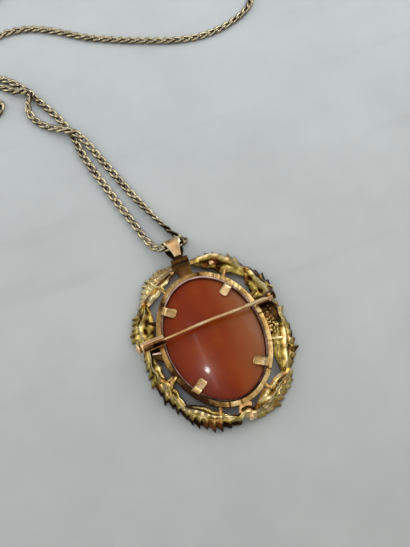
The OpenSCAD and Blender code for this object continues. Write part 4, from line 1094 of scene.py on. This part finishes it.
# Middle of the chain and its turn about its own run in degrees, repeated from the CAD part.
# A row without its last numbers lies flat: FLAT holds them.
FLAT = [0.7, 0]
ROUTE = [
    [4.5, 134, 1.1], [15.5, 133.4], [26.5, 131], [37, 126.8], [46.4, 121.2], [53.6, 114.2],
    [57.2, 105.6], [54, 97], [48.6, 93.6], [42, 91.7], [34.5, 91.3], [26.6, 93], [18.4, 96.3],
    [10, 100.2], [2, 104.6], [-5.6, 110.2], [-12.8, 114.4], [-20.6, 115.7], [-26.2, 114.4],
    [-30.4, 110.8], [-31.6, 106], [-29.6, 102.2], [-25.6, 99.1], [-22.5, 95.5], [-19.7, 90],
    [-16.9, 84], [-14.5, 77.8], [-13.1, 71.8], [-12.8, 66.4], [-11.7, 59.8], [-10.1, 52.4],
    [-8.5, 45.2, 0.75, -10], [-6.9, 38.2, 1, -50], [-5.6, 32.6, 1.1, -60], [-4.8, 30.2, 1.6, -40],
    [-3.8, 28.7, 2.6, -10], [-2.4, 28, 3.3], [0, 27.8, 3.4], [2.4, 27.7, 3.35], [3.6, 27.8, 2.9],
    [4.2, 28.4, 2, -20], [3.6, 29.4, 1.3, -50], [2.2, 31.3, 1.1, -75], [0.6, 34.4, 1.1, -80],
    [-1.4, 39.4, 1.05, -60], [-3.8, 46.4, 0.75, -10], [-6, 53.7], [-8.1, 61], [-9.7, 66.4, 0.9],
    [-11.1, 70.2, 1.9], [-12.9, 72.8, 2.3], [-15.6, 75.2, 1.8], [-18.6, 77.7, 0.9], [-21.4, 81.3],
    [-22.5, 85, 0.7, 20], [-22.1, 87, 1.4, 40], [-21.3, 88.2, 2.1, 50], [-20.2, 88.9, 2.5, 55],
    [-19.6, 90, 2.55, 55], [-20.1, 91.1, 2.55, 55], [-21.2, 91.6, 2.5, 55], [-22.6, 92, 2.2, 40],
    [-24, 93.2, 1.4, 20], [-25.5, 95, 0.8], [-27.6, 97.3], [-30.6, 98.8], [-33.6, 97.4], [-33, 94.4],
    [-29.6, 92.6], [-28.9, 90.2], [-30.4, 88.4], [-34.4, 87], [-40.2, 88], [-45, 92.8], [-46.8, 100.4],
    [-44, 109.4], [-37.8, 117.8], [-28.8, 125.2], [-17.4, 131], [-4.5, 134, 1.1],
]
ROUTE = [row + FLAT[len(row) - 2 :] for row in ROUTE]
PITCH, LINK_A, LINK_B, WIRE_R, TWIST = 2.78, 1.86, 0.68, 0.46, math.radians(54)
ROUND_LINK, ROUND_WIRE, FULLER, CLEAR = 14, 6, 0.85, 0.02


def between(x, k0, k1, p0, p1):
    """The straight blend from p0 at k0 to p1 at k1, taken at x."""
    return (k1 - x) / (k1 - k0) * p0 + (x - k0) / (k1 - k0) * p1


def spline(knots, spacing):
    """Points a set spacing apart on a curve through the knots (centripetal Catmull-Rom)."""
    knots = np.asarray(knots, float)
    padded = np.vstack([2 * knots[0] - knots[1], knots, 2 * knots[-1] - knots[-2]])
    step = np.linalg.norm(np.diff(padded[:, :3], axis=0), axis=1) ** 0.5
    t = np.append(0, np.cumsum(step))
    fine = []
    for i in range(1, len(padded) - 2):
        p, k = padded[i - 1 : i + 3], t[i - 1 : i + 3]
        x = np.linspace(k[1], k[2], 40, endpoint=False)[:, None]
        a = [between(x, k[j], k[j + 1], p[j], p[j + 1]) for j in range(3)]
        b = [between(x, k[j], k[j + 2], a[j], a[j + 1]) for j in range(2)]
        fine.append(between(x, k[1], k[2], b[0], b[1]))
    fine = np.vstack([*fine, knots[-1:]])
    length = np.append(0, np.cumsum(np.linalg.norm(np.diff(fine[:, :3], axis=0), axis=1)))
    count = max(int(round(length[-1] / spacing)), 1)
    run = np.linspace(0, length[-1], count + 1)
    return np.stack([np.interp(run, length, column) for column in fine.T], -1)


def chain_links():
    """Curb links: each is an oval wire, twisted about the chain's run so that it lies flat.

    At angle t round a link its middle line is (s, w cos a, w sin a) with s = LINK_A cos t,
    w = LINK_B sin t made fuller by the power FULLER, and the twist a = TWIST s / LINK_A.
    Neighbours pass through each other's ends. Links follow a spline through the route, turn
    with it, and are lifted clear of the surface. The wire's upper side carries a painted
    highlight in tone.
    """
    nodes = spline(ROUTE, PITCH)
    centre = 0.5 * (nodes[1:] + nodes[:-1])
    way = unit(nodes[1:, :3] - nodes[:-1, :3])
    level = unit(np.cross(way, [0, 0, 1.0]))
    up = np.cross(level, way)
    roll = np.radians(centre[:, 3])[:, None]
    wide = np.cos(roll) * level + np.sin(roll) * up
    thick = np.cos(roll) * up - np.sin(roll) * level
    t, j = circle(ROUND_LINK)[:, None], circle(ROUND_WIRE, 0.5)[None, :]
    s, w = LINK_A * np.cos(t), LINK_B * np.sign(np.sin(t)) * np.abs(np.sin(t)) ** FULLER
    turn = TWIST * s / LINK_A
    middle = np.stack([s, w * np.cos(turn), w * np.sin(turn)], -1)
    run = unit(np.roll(middle, -1, 0) - np.roll(middle, 1, 0))
    face = np.stack([0 * s, -np.sin(turn), np.cos(turn)], -1)
    face = unit(face - (face * run).sum(-1, keepdims=True) * run)
    out = np.cross(run, face)
    ring = middle + WIRE_R * (np.cos(j)[..., None] * out + np.sin(j)[..., None] * face)
    basis = np.stack([way, wide, thick], 1)
    points = np.einsum("tjk,nkc->ntjc", ring, basis) + centre[:, None, None, :3]
    per = ROUND_LINK * ROUND_WIRE
    points = points.reshape(len(centre), per, 3)
    points[..., 2] += np.clip(CLEAR - points[..., 2].min(1), 0, None)[:, None]
    faces = quads(ROUND_LINK, ROUND_WIRE, loop_rows=True)
    if volume(points[0], [faces]) < 0:
        faces = faces[:, ::-1]
    shift = per * np.arange(len(centre))[:, None, None]
    # Painted highlight on the wire's upper side.
    tone = np.tile((0.9 * np.sin(j) - 0.1) * np.ones_like(t), (len(centre), 1, 1)).ravel()
    return points.reshape(-1, 3), [(faces[None] + shift).reshape(-1, 4)], tone


# Rows of x and radius from the end of the clasp's cap to its barrel
CAP = [
    (0, 0.35), (0.05, 0.8), (0.15, 0.98), (1.05, 0.98), (1.15, 0.92), (1.2, 1.2), (1.35, 1.36), (1.6, 1.4),
]
CLASP_END, CLASP_R, CLASP_Y = 4.3, 1.4, 134.0


def clasp():
    """A plain barrel with stepped caps, the same at both ends, and shallow grooves round it."""
    x = np.linspace(-2.5, 0, 30)[:-1]
    barrel = np.column_stack([x, CLASP_R - 0.06 * (np.sin(9 * x) > 0.2)])
    half = np.vstack([np.array(CAP) - [CLASP_END, 0], barrel])
    body = lathe(np.vstack([half, [[0, CLASP_R - 0.06]], half[::-1] * [-1, 1]]), 40)
    return place(body, None, (0, CLASP_Y, CLASP_R))


make("curb_links", [chain_links()], CHAIN, "bail_and_chain", ["chain"], sharp=80)
make("barrel_clasp", [clasp()], CHAIN, "bail_and_chain", ["chain_clasp"])


# Floor, light and camera, in metres


def floor():
    """A wide pale sheet, lighter towards +Y by a painted falloff of light, with smudges,
    faint long scuffs and a fine grain."""
    n, half = 3, 1.2
    x = np.linspace(-half, half, n)
    points = np.stack([*np.meshgrid(x, x), np.zeros((n, n))], -1).reshape(-1, 3)
    mesh = bpy.data.meshes.new("floor")
    mesh.from_pydata(points.tolist(), [], quads(n, n, loop_cols=False).tolist())
    m = Nodes("pale_floor")
    # Painted falloff of light: the sheet is darker towards -Y and -X.
    across = m.sum(m.axis("Y"), m.sum(m.axis("X"), 0.25, "MULTIPLY"))
    level = m.span(across, -70 * MM, 130 * MM, 0.0, 1.0)
    shade = m.ramp(level, [(0.0, srgb("b5b9b6")), (1.0, srgb("d4dadb"))])
    smudge = m.span(m.noise(0.035, 5.0, 0.62), 0.3, 0.7, 0.94, 1.05)
    scuff = m.span(m.noise(0.05, 2.0, 0.4, stretch=(0.25, 3.0, 1.0), seed=2.0), 0.62, 0.72, 1.0, 0.965)
    colour = m.mix(1.0, shade, m.sum(smudge, scuff, "MULTIPLY"), "MULTIPLY")
    m.link(colour, m.shader.inputs["Base Color"])
    m.fix({"Roughness": 0.75})
    m.bump([(m.noise(3.0, 3.0), 0.04, 0.02)])
    mesh.materials.append(m.material)
    obj = bpy.data.objects.new("floor", mesh)
    bpy.context.scene.collection.objects.link(obj)


floor()
AIM = np.array([-0.001, 0.002, 0.005])


def stand(obj, x, y, z, at):
    """Put an object into the scene at a place, with its own axes along x, y and z."""
    matrix = np.eye(4)
    matrix[:3] = np.column_stack([x, y, z, at])
    obj.matrix_world = Matrix(matrix.tolist())
    bpy.context.scene.collection.objects.link(obj)


def area(name, direction, distance, size, power, colour=(1, 1, 1), long=None, along=(0, 1, 0.01)):
    """A lamp in a direction from the pendant, facing it: round, or a strip along a direction
    where its long side is given."""
    data = bpy.data.lights.new(name, "AREA")
    data.shape = "RECTANGLE" if long else "DISK"
    data.size = size
    if long:
        data.size_y = long
    data.energy = power
    data.color = colour
    z = unit(np.array(direction, float))
    x = unit(np.cross(unit(np.array(along, float)), z))
    stand(bpy.data.objects.new(name, data), x, np.cross(z, x), z, AIM + distance * z)


area("key_light", (1.0, 0.35, 0.75), 0.9, 0.9, 3.8, (1.0, 0.985, 0.95))
area("side_light", (-0.9, 0.75, 0.55), 1.1, 0.9, 3.2, (1.0, 0.99, 0.95))
area("fill_light", (-0.35, -0.8, 0.65), 1.0, 0.9, 1.9, (1.0, 0.98, 0.94))
area("spot_light", (-0.050, 0.101, 0.9935), 1.0, 0.035, 0.42)
area("strip_light", (-0.03, 0.19, 0.98), 1.0, 0.03, 0.16, (1.0, 0.84, 0.95), long=0.43, along=(0, 1, -0.2))


SKY = [(0.0, (0.2, 0.18, 0.165, 1)), (0.9, (0.85, 0.88, 0.92, 1))]
SKY_LEAN, SKY_STRENGTH = 0.35, 0.58


def sky():
    """A dim room below and a pale one above: the colour follows Z + SKY_LEAN * Y."""
    world = bpy.data.worlds.new("studio")
    bpy.context.scene.world = world
    world.use_nodes = True
    tree = world.node_tree
    split = tree.nodes.new("ShaderNodeSeparateXYZ")
    tree.links.new(tree.nodes.new("ShaderNodeTexCoord").outputs["Generated"], split.inputs[0])
    lean = tree.nodes.new("ShaderNodeMath")
    lean.operation = "MULTIPLY_ADD"
    tree.links.new(split.outputs["Y"], lean.inputs[0])
    lean.inputs[1].default_value = SKY_LEAN
    tree.links.new(split.outputs["Z"], lean.inputs[2])
    shade = tree.nodes.new("ShaderNodeValToRGB")
    tree.links.new(lean.outputs[0], shade.inputs["Fac"])
    for item, (at, colour) in zip(shade.color_ramp.elements, SKY):
        item.position, item.color = at, colour
    back = tree.nodes["Background"]
    tree.links.new(shade.outputs["Color"], back.inputs["Color"])
    back.inputs["Strength"].default_value = SKY_STRENGTH


sky()

# The camera's place and axes, solved from the photograph
RIGHT, UP, AHEAD = (0.9205, -0.3907, 0.0), (0.3623, 0.8535, 0.3746), (0.1464, 0.3448, -0.9272)
camera_data = bpy.data.cameras.new("camera")
camera_data.lens, camera_data.sensor_width, camera_data.clip_start = 46.07, 36.0, 0.01
camera = bpy.data.objects.new("camera", camera_data)
stand(camera, RIGHT, UP, -np.array(AHEAD), (-0.02207, -0.04608, 0.17329))
bpy.context.scene.camera = camera
bpy.context.scene.view_settings.view_transform = "Standard"
